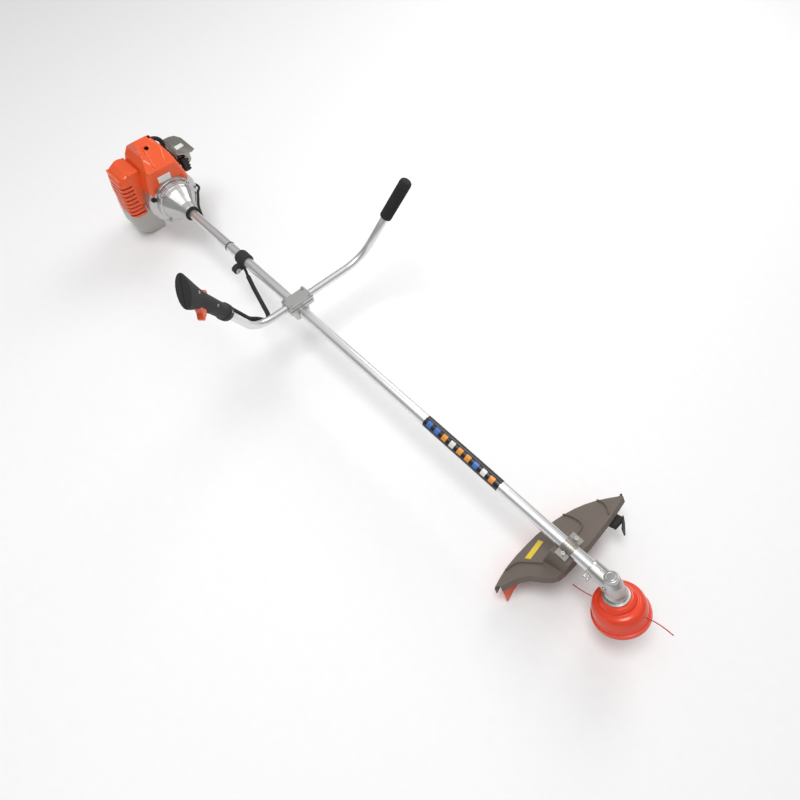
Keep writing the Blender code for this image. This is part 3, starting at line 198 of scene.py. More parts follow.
def material(name, look):
    """A Principled material whose colour, roughness and surface come from layered noise."""
    found = bpy.data.materials.get(name)
    if found:
        return found
    colour, rough, metal, grain, depth, mottling, stretch, extra = look
    made = bpy.data.materials.new(name)
    made.use_nodes = True
    nodes, links = made.node_tree.nodes, made.node_tree.links
    shader = nodes["Principled BSDF"]
    shader.inputs["Metallic"].default_value = metal
    for socket, value in extra.items():
        shader.inputs[socket].default_value = value

    place = nodes.new("ShaderNodeTexCoord")
    spread = nodes.new("ShaderNodeMapping")
    spread.inputs["Scale"].default_value = stretch
    links.new(place.outputs["Object"], spread.inputs["Vector"])

    fine = nodes.new("ShaderNodeTexNoise")
    fine.inputs["Scale"].default_value = grain
    fine.inputs["Detail"].default_value = 3
    links.new(spread.outputs["Vector"], fine.inputs["Vector"])
    broad = nodes.new("ShaderNodeTexNoise")
    broad.inputs["Scale"].default_value = 38
    broad.inputs["Detail"].default_value = 7
    broad.inputs["Roughness"].default_value = 0.65
    links.new(place.outputs["Object"], broad.inputs["Vector"])

    shades = nodes.new("ShaderNodeValToRGB")
    darker, lighter = shades.color_ramp.elements
    darker.position = 0.30
    darker.color = (*(c * (1 - mottling) for c in colour), 1)
    lighter.position = 0.72
    lighter.color = (*(min(1, c * (1 + mottling)) for c in colour), 1)
    links.new(broad.outputs["Fac"], shades.inputs["Fac"])
    links.new(shades.outputs["Color"], shader.inputs["Base Color"])

    gloss = nodes.new("ShaderNodeMapRange")
    gloss.inputs["To Min"].default_value = rough * 0.86
    gloss.inputs["To Max"].default_value = min(1.0, rough * 1.18)
    links.new(fine.outputs["Fac"], gloss.inputs["Value"])
    links.new(gloss.outputs["Result"], shader.inputs["Roughness"])

    relief = nodes.new("ShaderNodeBump")
    relief.inputs["Strength"].default_value = 0.8
    relief.inputs["Distance"].default_value = depth
    links.new(fine.outputs["Fac"], relief.inputs["Height"])
    links.new(relief.outputs["Normal"], shader.inputs["Normal"])
    return made


def slot_material(slot):
    return material(slot, LOOKS[slot])


# ---------------------------------------------------------------- mesh helpers
def placed(origin, axis, towards=None):
    """A placement whose local Z lies along axis and whose local X leans towards `towards`."""
    z = Vector(axis).normalized()
    if towards is None:
        towards = X_AXIS if abs(z.x) < 0.9 else Y_AXIS
    x = (towards - z * z.dot(towards)).normalized()
    turn = Matrix((x, z.cross(x), z)).transposed()
    return Matrix.Translation(origin) @ turn.to_4x4()


def piece(name, bm, look, body, slot, replaces=(), smooth=32):
    """Finish a bmesh as a piece that rides on a body and may stand for CAD nodes."""
    bmesh.ops.remove_doubles(bm, verts=bm.verts, dist=1e-7)
    bmesh.ops.recalc_face_normals(bm, faces=bm.faces)
    mesh = bpy.data.meshes.new(name)
    bm.to_mesh(mesh)
    bm.free()
    mesh.shade_smooth()
    mesh.set_sharp_from_angle(angle=radians(smooth))
    mesh.materials.append(look)
    made = bpy.data.objects.new(name, mesh)
    bpy.context.scene.collection.objects.link(made)
    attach(made, body)
    if replaces:
        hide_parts(*replaces)
    return made


def eased(profile, radius, closed):
    """The profile with each corner turned into a short arc."""
    if radius == 0:
        return profile
    points = []
    last = len(profile) - 1
    for i, corner in enumerate(profile):
        if not closed and i in (0, last):
            points.append(corner)
            continue
        here = Vector(corner)
        back = Vector(profile[i - 1]) - here
        on = Vector(profile[(i + 1) % len(profile)]) - here
        reach = min(radius, back.length * 0.42, on.length * 0.42)
        start = here + back.normalized() * reach
        end = here + on.normalized() * reach
        for t in (0, 0.33, 0.67, 1):
            point = start * (1 - t) ** 2 + here * 2 * t * (1 - t) + end * t ** 2
            points.append(tuple(point))
    return points


def hexagon_share(angle):
    """How far a hexagon's side is at this angle, as a share of its corner radius."""
    return cos(pi / 6) / cos((angle % (pi / 3)) - pi / 6)


def lathe(bm, profile, origin, axis, steps=96, ease=0.0004, hexes=(), towards=None):
    """Turn (distance along the axis, radius) points; rows in hexes come out six-sided."""
    closed = profile[0][1] > 0 and profile[-1][1] > 0
    shape = profile if hexes else eased(profile, ease, closed)
    place = placed(origin, axis, towards)
    rings = []
    for row, (along, radius) in enumerate(shape):
        if radius == 0:
            rings.append([bm.verts.new(place @ Vector((0, 0, along)))])
            continue
        ring = []
        for i in range(steps):
            angle = 2 * pi * i / steps
            reach = radius * (hexagon_share(angle) if row in hexes else 1)
            ring.append(bm.verts.new(place @ Vector((reach * cos(angle), reach * sin(angle),
                                                     along))))
        rings.append(ring)
    pairs = list(zip(rings, rings[1:])) + ([(rings[-1], rings[0])] if closed else [])
    for low, high in pairs:
        for i in range(steps):
            j = (i + 1) % steps
            corners = [low[i % len(low)], low[j % len(low)], high[j % len(high)],
                       high[i % len(high)]]
            corners = list(dict.fromkeys(corners))
            if len(corners) > 2:
                bm.faces.new(corners)
    return bm


def block(bm, low, high, place=Matrix.Identity(4)):
    """A box between two corners of the given placement."""
    size = Vector([b - a for a, b in zip(low, high)])
    middle = Vector([(a + b) / 2 for a, b in zip(low, high)])
    scaled = place @ Matrix.Translation(middle) @ Matrix.Diagonal((*size, 1))
    bmesh.ops.create_cube(bm, size=1.0, matrix=scaled)
    return bm


def sweep(bm, points, radius, sides=10):
    """A round rod along points; radius may be one number or one for each point."""
    radii = radius if isinstance(radius, list) else [radius] * len(points)
    rings = []
    side = None
    for i, point in enumerate(points):
        way = (points[min(i + 1, len(points) - 1)] - points[max(i - 1, 0)]).normalized()
        if side is None:
            side = way.orthogonal().normalized()
        side = (side - way * side.dot(way)).normalized()
        up = way.cross(side)
        rings.append([bm.verts.new(point + (side * cos(2 * pi * k / sides)
                                            + up * sin(2 * pi * k / sides)) * radii[i])
                      for k in range(sides)])
    for low, high in zip(rings, rings[1:]):
        for k in range(sides):
            j = (k + 1) % sides
            bm.faces.new((low[k], low[j], high[j], high[k]))
    bm.faces.new(rings[0])
    bm.faces.new(rings[-1])
    return bm


def welded(node):
    """A bmesh of a CAD node, with its split corners joined again."""
    bm = bmesh.new()
    bm.from_mesh(NODES[node].data)
    bmesh.ops.remove_doubles(bm, verts=bm.verts, dist=1e-6)
    return bm


def moulded(name, node, voxel=0.001, passes=5, extras=None, cuts=None):
    """A CAD node's shape with details added or cut, then rounded all over like a moulding."""
    bm = welded(node)
    if extras:
        extras(bm)
    mesh = bpy.data.meshes.new(name)
    bm.to_mesh(mesh)
    bm.free()
    rough = bpy.data.objects.new(name + "_rough", mesh)
    bpy.context.scene.collection.objects.link(rough)
    helpers = [rough]
    if cuts:
        tool_bm = bmesh.new()
        cuts(tool_bm)
        tool_mesh = bpy.data.meshes.new(name + "_tool")
        tool_bm.to_mesh(tool_mesh)
        tool_bm.free()
        tool = bpy.data.objects.new(name + "_tool", tool_mesh)
        bpy.context.scene.collection.objects.link(tool)
        helpers.append(tool)
        step = rough.modifiers.new("details", "BOOLEAN")
        step.object = tool
        step.operation = "DIFFERENCE"
        step.solver = "EXACT"
        step.use_self = True
    remesh = rough.modifiers.new("skin", "REMESH")
    remesh.mode = "VOXEL"
    remesh.voxel_size = voxel
    ease = rough.modifiers.new("ease", "SMOOTH")
    ease.factor = 0.5
    ease.iterations = passes
    bpy.context.view_layer.update()
    final = bpy.data.meshes.new_from_object(
        rough.evaluated_get(bpy.context.evaluated_depsgraph_get()))
    out = bmesh.new()
    out.from_mesh(final)
    for helper in helpers:
        bpy.data.objects.remove(helper, do_unlink=True)
    slot = SLOT_OF[node]
    return piece(name, out, slot_material(slot), BODY_OF[node], slot, [node], smooth=60)


def refined(node, bevel=0.0, smooth=32):
    """A CAD node as it is, but smooth shaded, with its sharp edges rounded."""
    slot = SLOT_OF[node]
    made = piece(node + "_skin", welded(node), slot_material(slot), BODY_OF[node], slot,
                 [node], smooth)
    if bevel:
        edge = made.modifiers.new("edges", "BEVEL")
        edge.width = bevel
        edge.segments = 2
        edge.limit_method = "ANGLE"
        edge.angle_limit = radians(smooth)
    return made


def on_surface(node, direction):
    """A function that drops a point along direction onto a CAD node's surface."""
    bm = welded(node)
    tree = BVHTree.FromBMesh(bm)
    bm.free()
    start_off = 0.080

    def drop(point, lift=0.0):
        hit = tree.ray_cast(point - direction * start_off, direction)[0]
        return (hit if hit is not None else point) - direction * lift
    return drop


def decal(name, corners, drop, look, slot, lift):
    """A thin patch between four corners, laid on a surface of the frame body."""
    cells = 8
    bm = bmesh.new()
    a, b, c, d = corners
    grid = [[bm.verts.new(drop(a.lerp(b, i / cells).lerp(d.lerp(c, i / cells), j / cells), lift))
             for j in range(cells + 1)] for i in range(cells + 1)]
    for i in range(cells):
        for j in range(cells):
            bm.faces.new((grid[i][j], grid[i + 1][j], grid[i + 1][j + 1], grid[i][j + 1]))
    made = piece(name, bm, look, "frame", slot)
    sheet = made.modifiers.new("thickness", "SOLIDIFY")
    sheet.thickness = PROUD
    sheet.offset = 0


RIDGE_ROOT = 0.001              # how far a ridge reaches below its surface


def ridge(bm, points, up, height, half):
    """An upright wall along points that stand on a surface."""
    taper = 0.6
    rings = []
    for i, point in enumerate(points):
        way = points[min(i + 1, len(points) - 1)] - points[max(i - 1, 0)]
        side = way.cross(up).normalized() * half
        foot, crest = point - up * RIDGE_ROOT, point + up * height
        rings.append([bm.verts.new(corner) for corner in (foot - side, foot + side,
                                                          crest + side * taper,
                                                          crest - side * taper)])
    for low, high in zip(rings, rings[1:]):
        for k in range(4):
            j = (k + 1) % 4
            bm.faces.new((low[k], low[j], high[j], high[k]))
    bm.faces.new(rings[0])
    bm.faces.new(rings[-1])
    return bm


def smooth_run(points, per_span):
    """Points along a Catmull-Rom curve through the given ones."""
    knots = [Vector(p) for p in points]
    knots = [2 * knots[0] - knots[1]] + knots + [2 * knots[-1] - knots[-2]]
    run = []
    for a, b, c, d in zip(knots, knots[1:], knots[2:], knots[3:]):
        for i in range(per_span):
            t = i / per_span
            run.append(0.5 * ((2 * b) + (c - a) * t + (2 * a - 5 * b + 4 * c - d) * t ** 2
                              + (3 * b - a - 3 * c + d) * t ** 3))
    run.append(knots[-2])
    return run


def socket_bolt(bm, origin, axis, radius, height):
    """A cap screw's head with a hexagon socket."""
    socket = radius * 0.52
    profile = [(0, radius), (height * 0.86, radius), (height, radius * 0.90),
               (height, socket), (height * 0.4, socket), (height * 0.4, 0)]
    return lathe(bm, [(0, 0)] + profile, origin, axis, 48, hexes=(4, 5))


def new_bolts(name, body, places, axis, radius, height):
    """Several cap screws as one piece that stands for no CAD node."""
    bm = bmesh.new()
    for origin in places:
        socket_bolt(bm, origin, axis, radius, height)
    return piece(name, bm, slot_material("steel"), body, "steel")


def node_bolt(node, axis, radius, height, seat):
    """A cap screw that replaces a CAD bolt; seat is where its head starts along the axis."""
    low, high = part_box(node)
    middle = (low + high) / 2
    origin = middle + axis * (seat - middle.dot(axis))
    bm = bmesh.new()
    socket_bolt(bm, origin, axis, radius, height)
    shank_top = origin.dot(axis)
    reach = shank_top - min(low.dot(axis), high.dot(axis))
    lathe(bm, [(-reach, 0), (-reach, radius * 0.45), (-0.0002, radius * 0.45), (-0.0002, 0)],
          origin, axis, 24, 0.0002)
    return piece(node + "_screw", bm, slot_material("steel"), BODY_OF[node], "steel", [node])


# ---------------------------------------------------------------- tube and gear head
def tube():
    bm = bmesh.new()
    length = TUBE_HIGH.x - TUBE_LOW.x
    lathe(bm, [(0, TUBE_R - 0.0015), (0, TUBE_R), (length, TUBE_R), (length, TUBE_R - 0.0015)],
          Vector((TUBE_LOW.x, 0, AXIS_Z)), X_AXIS, 64)
    piece("tube_skin", bm, slot_material("anodised_tube"), "frame", "anodised_tube",
          ["shaft_tube"])

    band_rear, band_front = -0.464, -0.239
    band = bmesh.new()
    lathe(band, [(0, TUBE_R + 0.0001), (0, TUBE_R + PROUD),
                 (band_front - band_rear, TUBE_R + PROUD),
                 (band_front - band_rear, TUBE_R + 0.0001)], at(band_rear, 0, 0), X_AXIS, 64, 0)
    piece("tube_band", band, material("sticker_dark", STICKER_DARK), "frame", "black_plastic")
    shapes = {"white": STICKER_WHITE, "orange": STICKER_ORANGE, "blue": STICKER_BLUE}
    order = ("blue", "blue", "orange", "white", "orange", "orange", "blue", "white", "orange")
    pitch, length = 0.0235, 0.0130
    for colour, look in shapes.items():
        marks = bmesh.new()
        for i, chosen in enumerate(order):
            if chosen == colour:
                start = band_rear + 0.010 + pitch * i
                arc_patch(marks, start, start + length, -62, -2, TUBE_R + 2 * PROUD)
        piece("tube_band_" + colour, marks, material("sticker_" + colour, look), "frame",
              "tank_plastic")


def arc_patch(bm, rear, front, low_deg, high_deg, radius, steps=12):
    """A thin curved patch round the tube; angles from straight up, positive to the left."""
    rows = []
    for x in (rear, front):
        for reach in (radius, radius + 0.0002):
            row = []
            for i in range(steps + 1):
                angle = radians(low_deg + (high_deg - low_deg) * i / steps)
                row.append(bm.verts.new(at(x, reach * sin(angle), reach * cos(angle))))
            rows.append(row)
    inner_rear, outer_rear, inner_front, outer_front = rows
    for i in range(steps):
        for a, b in ((outer_rear, outer_front), (inner_rear, inner_front),
                     (inner_rear, outer_rear), (inner_front, outer_front)):
            bm.faces.new((a[i], a[i + 1], b[i + 1], b[i]))
    for i in (0, steps):
        bm.faces.new((inner_rear[i], outer_rear[i], outer_front[i], inner_front[i]))


def gear_head():
    def details(bm):
        block(bm, (0.020, -0.0022, 0.0150), (0.044, 0.0022, 0.0205),
              IN_TUBE_FRAME)
    moulded("gear_case_casting", "gear_case", 0.0007, 5, details)

    top = HEAD_POINT + HEAD_AXIS * -0.0342
    cap = bmesh.new()
    lathe(cap, [(0, 0), (0, 0.0085), (0.0008, 0.0095), (0.0002, 0.0105), (0.0004, 0.0130),
                (0.0014, 0.0145), (0.0077, 0.0150), (0.0077, 0)], top, HEAD_AXIS, 72)
    piece("gear_cap_turned", cap, slot_material("cast_aluminium"), "frame",
          "cast_aluminium", ["gear_case_cap"])
    new_bolts("gear_case_screws", "frame", [at(0.008, -0.0200, -0.0030)], Z_AXIS, 0.0042, 0.0040)
    new_bolts("grease_screw", "frame", [at(0.046, -0.0188, 0.0010)], -Y_AXIS, 0.0045, 0.0028)

    washer = bmesh.new()
    lathe(washer, [(0.0232, 0.0063), (0.0232, 0.0240), (0.0236, 0.0270), (0.0244, 0.0280),
                   (0.0268, 0.0280), (0.0268, 0.0063)], HEAD_POINT, HEAD_AXIS, 96)
    piece("adapter_washer_turned", washer, slot_material("steel"), "trimmer_head", "steel",
          ["adapter_washer"])


def trimmer_head():
    shell = bmesh.new()
    rim = 0.060
    lathe(shell, [(0.0272, 0.0065), (0.0272, 0.0290), (0.0280, 0.0325), (0.0330, 0.0368),
                  (0.0395, 0.0382), (0.0400, 0.0395), (0.0403, 0.0440), (0.0430, 0.0488),
                  (0.0500, 0.0528), (0.0600, 0.0550), (0.0700, 0.0558), (0.0705, 0.0566),
                  (0.0790, 0.0568),
                  (0.0798, rim), (0.0860, rim), (0.0860, 0.0550), (0.0600, 0.0518),
                  (0.0480, 0.0410), (0.0420, 0.0345), (0.0302, 0.0290), (0.0302, 0.0065)],
          HEAD_POINT, HEAD_AXIS, 120, 0.0008)
    piece("head_dome", shell, slot_material("orange_gloss"), "trimmer_head", "orange_gloss",
          ["head_housing"])

    base = bmesh.new()
    lathe(base, [(0.0863, 0.0262), (0.0863, rim), (0.0885, rim), (0.0900, 0.0585),
                 (0.0915, 0.0480), (0.0915, 0.0262)], HEAD_POINT, HEAD_AXIS, 120, 0.0006)
    ribs = 12
    for i in range(ribs):
        turn = Matrix.Rotation(2 * pi * i / ribs, 4, "Z")
        block(base, (0.0300, -0.0012, 0.0905), (0.0470, 0.0012, 0.0926),
              placed(HEAD_POINT, HEAD_AXIS) @ turn)
    piece("head_base_moulding", base, slot_material("orange_gloss"), "trimmer_head",
          "orange_gloss", ["head_base"])

    knob = bmesh.new()
    lathe(knob, [(0.0900, 0), (0.0900, 0.0110), (0.0818, 0.0110), (0.0818, 0.0240),
                 (0.0930, 0.0245), (0.1030, 0.0235), (0.1080, 0.0200), (0.1100, 0.0120),
                 (0.1100, 0)], HEAD_POINT, HEAD_AXIS, 72, 0.0008)
    for i in range(ribs):
        turn = Matrix.Rotation(2 * pi * i / ribs, 4, "Z")
        block(knob, (0.0225, -0.0016, 0.0935), (0.0253, 0.0016, 0.1025),
              placed(HEAD_POINT, HEAD_AXIS) @ turn)
    piece("knob_moulding", knob, slot_material("black_plastic"), "spool", "black_plastic",
          ["bump_knob"])
    for node in ("line_tail_left", "line_tail_right", "bump_spring", "output_gear",
                 "line_spool"):
        refined(node, 0, 50)


# ---------------------------------------------------------------- guard
# the three raised ribs, the left end's rim and the sticker, as (behind, to the left) points
GUARD_RIBS = (((0.211, -0.0940), (0.200, -0.0650), (0.172, -0.0480), (0.1500, -0.0360)),
              ((0.205, 0.0960), (0.190, 0.0997), (0.172, 0.0985), (0.1573, 0.0966),
               (0.1440, 0.0900), (0.1390, 0.0760), (0.1366, 0.0576)),
              ((0.166, 0.1700), (0.151, 0.1690), (0.1362, 0.1633), (0.1240, 0.1550),
               (0.1160, 0.1457)),
              ((0.1290, 0.2060), (0.1240, 0.2060)))
GUARD_STICKER = ((0.2041, 0.0094), (0.1896, 0.0102), (0.1823, -0.0429), (0.1956, -0.0469))
RIB_HEIGHT, RIB_HALF = 0.0050, 0.0017


def guard():
    moulded("guard_moulding", "guard", 0.0012, 3)
    drop = on_surface("guard", HEAD_AXIS)
    ribs = bmesh.new()
    for knots in GUARD_RIBS:
        run = smooth_run([on_head(back, side, 0) for back, side in knots], 4)
        ridge(ribs, [drop(point) for point in run], -HEAD_AXIS, RIB_HEIGHT, RIB_HALF)
    piece("guard_ribs", ribs, slot_material("taupe_plastic"), "frame", "taupe_plastic")
    decal("guard_sticker", [on_head(back, side, 0) for back, side in GUARD_STICKER], drop,
          material("sticker_yellow", STICKER_YELLOW), "orange_plastic", 0.0006)

    low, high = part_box("guard_clamp")
    middle = (low + high) / 2
    saddle = bmesh.new()
    half_x, flange_z, arch_wall, clearance = 0.0135, 0.0035, 0.0028, 0.0004
    block(saddle, (middle.x - half_x, low.y, AXIS_Z - clearance),
          (middle.x + half_x, high.y, AXIS_Z + flange_z))
    arch = [(x, TUBE_R + clearance + rise) for x, rise in
            ((-half_x, arch_wall), (half_x, arch_wall), (half_x, 0), (-half_x, 0))]
    lathe(saddle, arch, Vector((middle.x, 0, AXIS_Z)), X_AXIS, 72, 0.0003)
    rib_half, rib_root, rib_top = 0.0011, TUBE_R + 0.002, TUBE_R + 0.0042
    for k in range(5):
        x = -0.0110 + 0.0055 * k
        lathe(saddle, [(x - rib_half, rib_root), (x - rib_half, rib_top),
                       (x + rib_half, rib_top), (x + rib_half, rib_root)],
              Vector((middle.x, 0, AXIS_Z)), X_AXIS, 72, 0.0003)
    piece("guard_bracket", saddle, slot_material("muffler_steel"), "frame", "taupe_plastic",
          ["guard_clamp"])
    refined("guard_extension", 0.0008)
    refined("line_blade", 0.0005)
    seat = AXIS_Z + flange_z
    for node in ("guard_bolt_left", "guard_bolt_right"):
        node_bolt(node, Z_AXIS, 0.0050, 0.0045, seat)


# ---------------------------------------------------------------- handlebar and grips
BAR_RISE = Vector((0.0648, 0.1068, 0.2275))     # the left end section, from its bend
BAR_CENTRE = (-0.930, 0.0263)                   # the bar's straight middle: x and z
BAR_BEND_LEFT, BAR_BEND_RIGHT = 0.214, -0.129
GRIP_R, GRIP_LENGTH = 0.0158, 0.112
THROTTLE_WAY = Vector((BAR_RISE.x, -BAR_RISE.y, BAR_RISE.z)).normalized()
TRIGGER_LEAN = Vector((0.631, -0.617, -0.469))


def throttle_place():
    """The throttle grip's placement: Z along the bar, X towards the trigger."""
    bend = at(BAR_CENTRE[0], BAR_BEND_RIGHT, BAR_CENTRE[1])
    return placed(bend, THROTTLE_WAY, TRIGGER_LEAN)


def left_grip():
    way = BAR_RISE.normalized()
    bend = at(BAR_CENTRE[0], BAR_BEND_LEFT, BAR_CENTRE[1])
    start, end = BAR_RISE.length - GRIP_LENGTH, BAR_RISE.length + 0.002
    profile = [(start, 0), (start, GRIP_R - 0.0006), (start + 0.004, GRIP_R)]
    pitch, depth = 0.0050, 0.0011
    place = start + 0.009
    while place + pitch < end - 0.014:
        profile += [(place, GRIP_R), (place + 0.0006, GRIP_R - depth),
                    (place + 0.0016, GRIP_R - depth), (place + 0.0022, GRIP_R)]
        place += pitch
    profile += [(end - 0.009, GRIP_R), (end - 0.004, GRIP_R - 0.0012),
                (end - 0.001, GRIP_R - 0.0040), (end, GRIP_R - 0.0080), (end, 0)]
    bm = bmesh.new()
    lathe(bm, profile, bend, way, 72, 0.0003)
    piece("left_grip_rubber", bm, slot_material("black_rubber"), "frame", "black_rubber",
          ["left_grip"])


def throttle_grip():
    place = throttle_place()

    def ribs(bm):
        for k in range(7):
            along = 0.222 + 0.0085 * k
            half = 0.0040
            block(bm, (-0.0178, -half, along), (-0.0150, half, along + 0.0030), place)

    moulded("throttle_grip_front_moulding", "throttle_grip_front", 0.0009, 5, ribs)
    moulded("throttle_grip_rear_moulding", "throttle_grip_rear", 0.0009, 5)
    moulded("trigger_moulding", "throttle_trigger", 0.0006, 4)
    moulded("interlock_moulding", "throttle_interlock", 0.0005, 4)
    moulded("stop_switch_moulding", "stop_switch", 0.0004, 3)
    axis = place.to_3x3() @ Y_AXIS
    new_bolts("throttle_grip_screws", "frame",
              [place @ Vector((0.0000, 0.0188, 0.196)), place @ Vector((0.0010, 0.0150, 0.262)),
               place @ Vector((-0.0060, 0.0135, 0.345))], axis, 0.0030, 0.0016)


CABLE_OFFSET, CABLE_R, SLEEVE_R = 0.0140, 0.0038, 0.0060


def throttle_cable():
    """The cable along its route, with a ribbed sleeve from the grip to the strap hanger."""
    place = throttle_place()
    start = [place @ Vector((-CABLE_OFFSET, 0, along)) for along in (0.1985, 0.160, 0.120, 0.085)]
    sleeved = [at(*point) for point in
               ((-0.9440, -0.1330, 0.0560), (-0.9475, -0.1120, 0.0340), (-0.9480, -0.0900, 0.0115),
                (-0.9640, -0.0740, 0.0035), (-1.0050, -0.0610, -0.0010),
                (-1.0700, -0.0420, -0.0070), (-1.1250, -0.0240, -0.0150))]
    bare = [at(*point) for point in
            ((-1.1600, -0.0120, -0.0195), (-1.2100, -0.0040, -0.0195),
             (-1.3000, 0.0040, -0.0192), (-1.3700, 0.0100, -0.0190),
             (-1.4000, 0.0170, -0.0165), (-1.4240, 0.0245, -0.0130),
             (-1.4500, 0.0355, -0.0085), (-1.4750, 0.0520, -0.0060),
             (-1.4980, 0.0665, -0.0060), (-1.5200, 0.0830, -0.0100),
             (-1.5600, 0.0850, -0.0250), (-1.5850, 0.0620, -0.0490),
             (-1.6000, 0.0250, -0.0562), (-1.6010, -0.0250, -0.0562),
             (-1.6010, -0.0520, -0.0440), (-1.6010, -0.0720, -0.0150),
             (-1.6010, -0.0820, 0.0150), (-1.6010, -0.0830, 0.0440))]
    bm = sweep(bmesh.new(), smooth_run(start + sleeved + bare, 5), CABLE_R, 16)
    piece("throttle_cable_sheath", bm, slot_material("black_rubber"), "frame", "black_rubber",
          ["throttle_cable"], 60)
    run = smooth_run(start[1:] + sleeved, 24)
    radii = [SLEEVE_R - (0.0006 if i % 3 == 0 else 0) for i in range(len(run))]
    piece("throttle_cable_sleeve", sweep(bmesh.new(), run, radii, 20),
          slot_material("black_rubber"), "frame", "black_rubber", smooth=70)


def handlebar():
    refined("handlebar", 0, 60)
    throttle_cable()
    left_grip()
    throttle_grip()
    moulded("bar_clamp_base", "handle_clamp_base", 0.0007, 4)
    moulded("bar_clamp_cap", "handle_clamp_cap", 0.0007, 4)
    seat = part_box("handle_bolt_1")[1].z - 0.0040
    for number in range(1, 5):
        node_bolt(f"handle_bolt_{number}", Z_AXIS, 0.0042, 0.0040, seat)


def strap_hanger():
    low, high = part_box("strap_hanger")

    def bands(bm):
        for k in range(5):
            x = 0.003 + 0.0065 * k
            lathe(bm, [(x, 0.0150), (x, 0.0203), (x + 0.0030, 0.0203), (x + 0.0030, 0.0150)],
                  Vector((low.x, 0, AXIS_Z)), X_AXIS, 64, 0)
    moulded("hanger_moulding", "strap_hanger", 0.0007, 4, bands)
    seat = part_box("strap_hanger_bolt")[1].x - 0.0040
    node_bolt("strap_hanger_bolt", X_AXIS, 0.0075, 0.0040, seat)
    ring = bmesh.new()
    lathe(ring, [(0, TUBE_R), (0, TUBE_R + 0.0009), (0.0025, TUBE_R + 0.0009), (0.0025, TUBE_R)],
          Vector((low.x - 0.050, 0, AXIS_Z)), X_AXIS, 64, 0.0004)
    piece("tube_seal", ring, slot_material("black_rubber"), "frame", "black_rubber")


# ---------------------------------------------------------------- engine
def engine_front():
    flange_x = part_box("clutch_housing")[0].x
    moulded("clutch_casting", "clutch_housing", 0.0010, 6)
    moulded("fan_case_casting", "fan_case", 0.0010, 5)

    lug, radius = 0.0440, 0.0045
    new_bolts("clutch_screws", "frame",
              [Vector((flange_x + 0.0070, y, AXIS_Z + z)) for y in (-lug, lug)
               for z in (-lug, lug)], X_AXIS, radius, 0.0042)
    neck = bmesh.new()
    lathe(neck, [(0, TUBE_R), (0, 0.0215), (0.0035, 0.0215), (0.0060, 0.0170), (0.0060, TUBE_R)],
          Vector((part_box("clutch_housing")[1].x, 0, AXIS_Z)), X_AXIS, 72, 0.0006)
    piece("neck_seal", neck, slot_material("black_rubber"), "frame", "black_rubber")
    plug = bmesh.new()
    lathe(plug, [(-0.004, 0), (-0.004, 0.0080), (0.002, 0.0080), (0.003, 0.0068),
                 (0.003, 0.0050), (0.0018, 0.0044), (0.0018, 0)], at(-1.5165, -0.0605, 0.0270),
          Vector((0.93, -0.34, 0.14)), 40)
    piece("fan_case_plug", plug, slot_material("black_rubber"), "frame", "black_rubber")


ROOF = (-1.6000, 0.1560)        # x and z of the shroud's ridge
ROOF_FALL, BACK_FALL = 0.5635, 0.70     # slopes in front of the ridge and behind it
FACET = ((-1.616, -0.024), (-1.578, -0.0330), (-1.548, -0.0350), (-1.520, -0.0190),
         (-1.520, 0.0130), (-1.558, 0.0290), (-1.590, 0.0180), (-1.614, 0.0120))
FACET_MIDDLE = -1.567           # x the raised facet shrinks towards at its top


def roof_z(x):
    """Height of the shroud's roof above the tube's axis."""
    run = x - ROOF[0]
    return ROOF[1] - max(run * ROOF_FALL, -run * BACK_FALL)


def shroud():
    raise_by, screw = 0.0016, (-1.5730, -0.0060)

    def details(bm):
        low = [bm.verts.new(at(x, y, roof_z(x) - 0.003)) for x, y in FACET]
        high = [bm.verts.new(at(x * 0.97 + FACET_MIDDLE * 0.03, y * 0.96, roof_z(x) + raise_by))
                for x, y in FACET]
        bmesh.ops.contextual_create(bm, geom=low)
        bmesh.ops.contextual_create(bm, geom=high)
        for k in range(len(FACET)):
            j = (k + 1) % len(FACET)
            bm.faces.new((low[k], low[j], high[j], high[k]))
        run = []
        for k in range(6):
            x = -1.5800 + 0.012 * k
            run.append(at(x, -0.0140 - 0.0018 * k, roof_z(x) + raise_by))
        ridge(bm, run, Z_AXIS, 0.0022, 0.0024)

    def recess(bm):
        lathe(bm, [(0, 0), (0, 0.0064), (0.040, 0.0064), (0.040, 0)], at(*screw, 0.126), Z_AXIS,
              30)
    moulded("shroud_moulding", "top_shroud", 0.0011, 5, details, recess)
    new_bolts("shroud_screw", "frame", [at(*screw, 0.1290)], Z_AXIS, 0.0036, 0.0030)
    label = [at(-1.5000, y, z) for y, z in ((-0.029, 0.087), (0.011, 0.087), (0.011, 0.067),
                                            (-0.029, 0.067))]
    decal("shroud_label", label, on_surface("top_shroud", -X_AXIS),
          material("sticker_white", STICKER_WHITE), "tank_plastic", 0.0006)


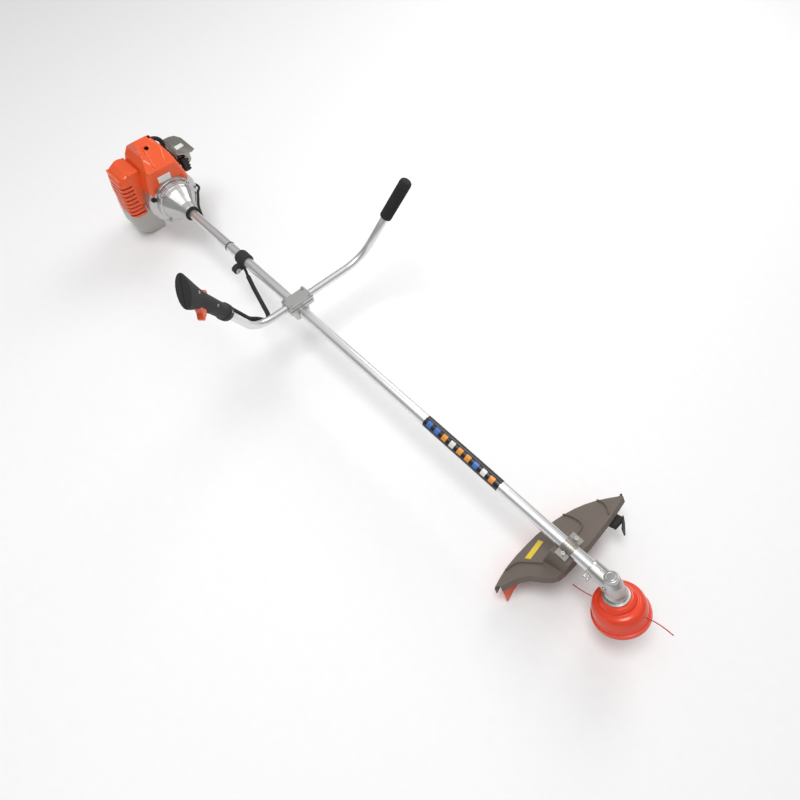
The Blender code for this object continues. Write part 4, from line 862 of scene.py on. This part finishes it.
def engine_covers():
    shroud()

    def details(bm):
        block(bm, (-1.6410, -0.0900, 0.0000), (-1.5580, -0.0570, 0.1005),
              IN_TUBE_FRAME)
    moulded("side_cover_moulding", "side_cover", 0.0010, 5, details)
    liner = block(bmesh.new(), (-1.6400, -0.1175, -0.0370), (-1.5680, -0.0760, 0.0900),
                  IN_TUBE_FRAME)
    piece("side_cover_liner", liner, slot_material("orange_plastic"), "frame", "orange_plastic")
    moulded("tank_moulding", "fuel_tank", 0.0013, 8)
    moulded("starter_moulding", "starter_case", 0.0012, 5)
    moulded("crankcase_casting", "crankcase", 0.0012, 4)


def exhaust():
    refined("muffler_shield", 0.0006)
    drop = on_surface("muffler_shield", -Z_AXIS)
    label = [at(x, y, 0.12) for x, y in ((-1.5810, 0.0740), (-1.5830, 0.0990), (-1.5660, 0.0990),
                                         (-1.5620, 0.0720))]
    decal("shield_label", label, drop, material("sticker_white", STICKER_WHITE),
          "tank_plastic", 0.0004)
    slot_edge = bmesh.new()
    for line in (((-1.6240, 0.0640), (-1.5560, 0.0640)), ((-1.6240, 0.0700), (-1.5900, 0.0700))):
        ridge(slot_edge, [drop(at(x, y, 0.12)) for x, y in line], Z_AXIS, 0.0022, 0.0016)
    piece("shield_beads", slot_edge, slot_material("muffler_steel"), "frame", "muffler_steel")
    moulded("muffler_pressing", "muffler", 0.0011, 5)

    def fins(bm):
        for k in range(4):
            block(bm, (-1.5626, 0.0690, 0.0430 + 0.0100 * k),
                  (-1.5385, 0.0895, 0.0460 + 0.0100 * k), IN_TUBE_FRAME)
    moulded("coil_moulding", "ignition_coil", 0.0009, 3, fins)
    new_bolts("coil_screws", "frame", [at(-1.5570, 0.0730, 0.0790), at(-1.5460, 0.0830, 0.0790)],
              Z_AXIS, 0.0036, 0.0035)


def remaining():
    """Every CAD node that still shows gets its slot's material and smooth shading."""
    for node, obj in NODES.items():
        if not obj.hide_render:
            refined(node, 0)


# ---------------------------------------------------------------- build
camera()
studio()
tube()
gear_head()
trimmer_head()
guard()
handlebar()
strap_hanger()
engine_front()
engine_covers()
exhaust()
remaining()
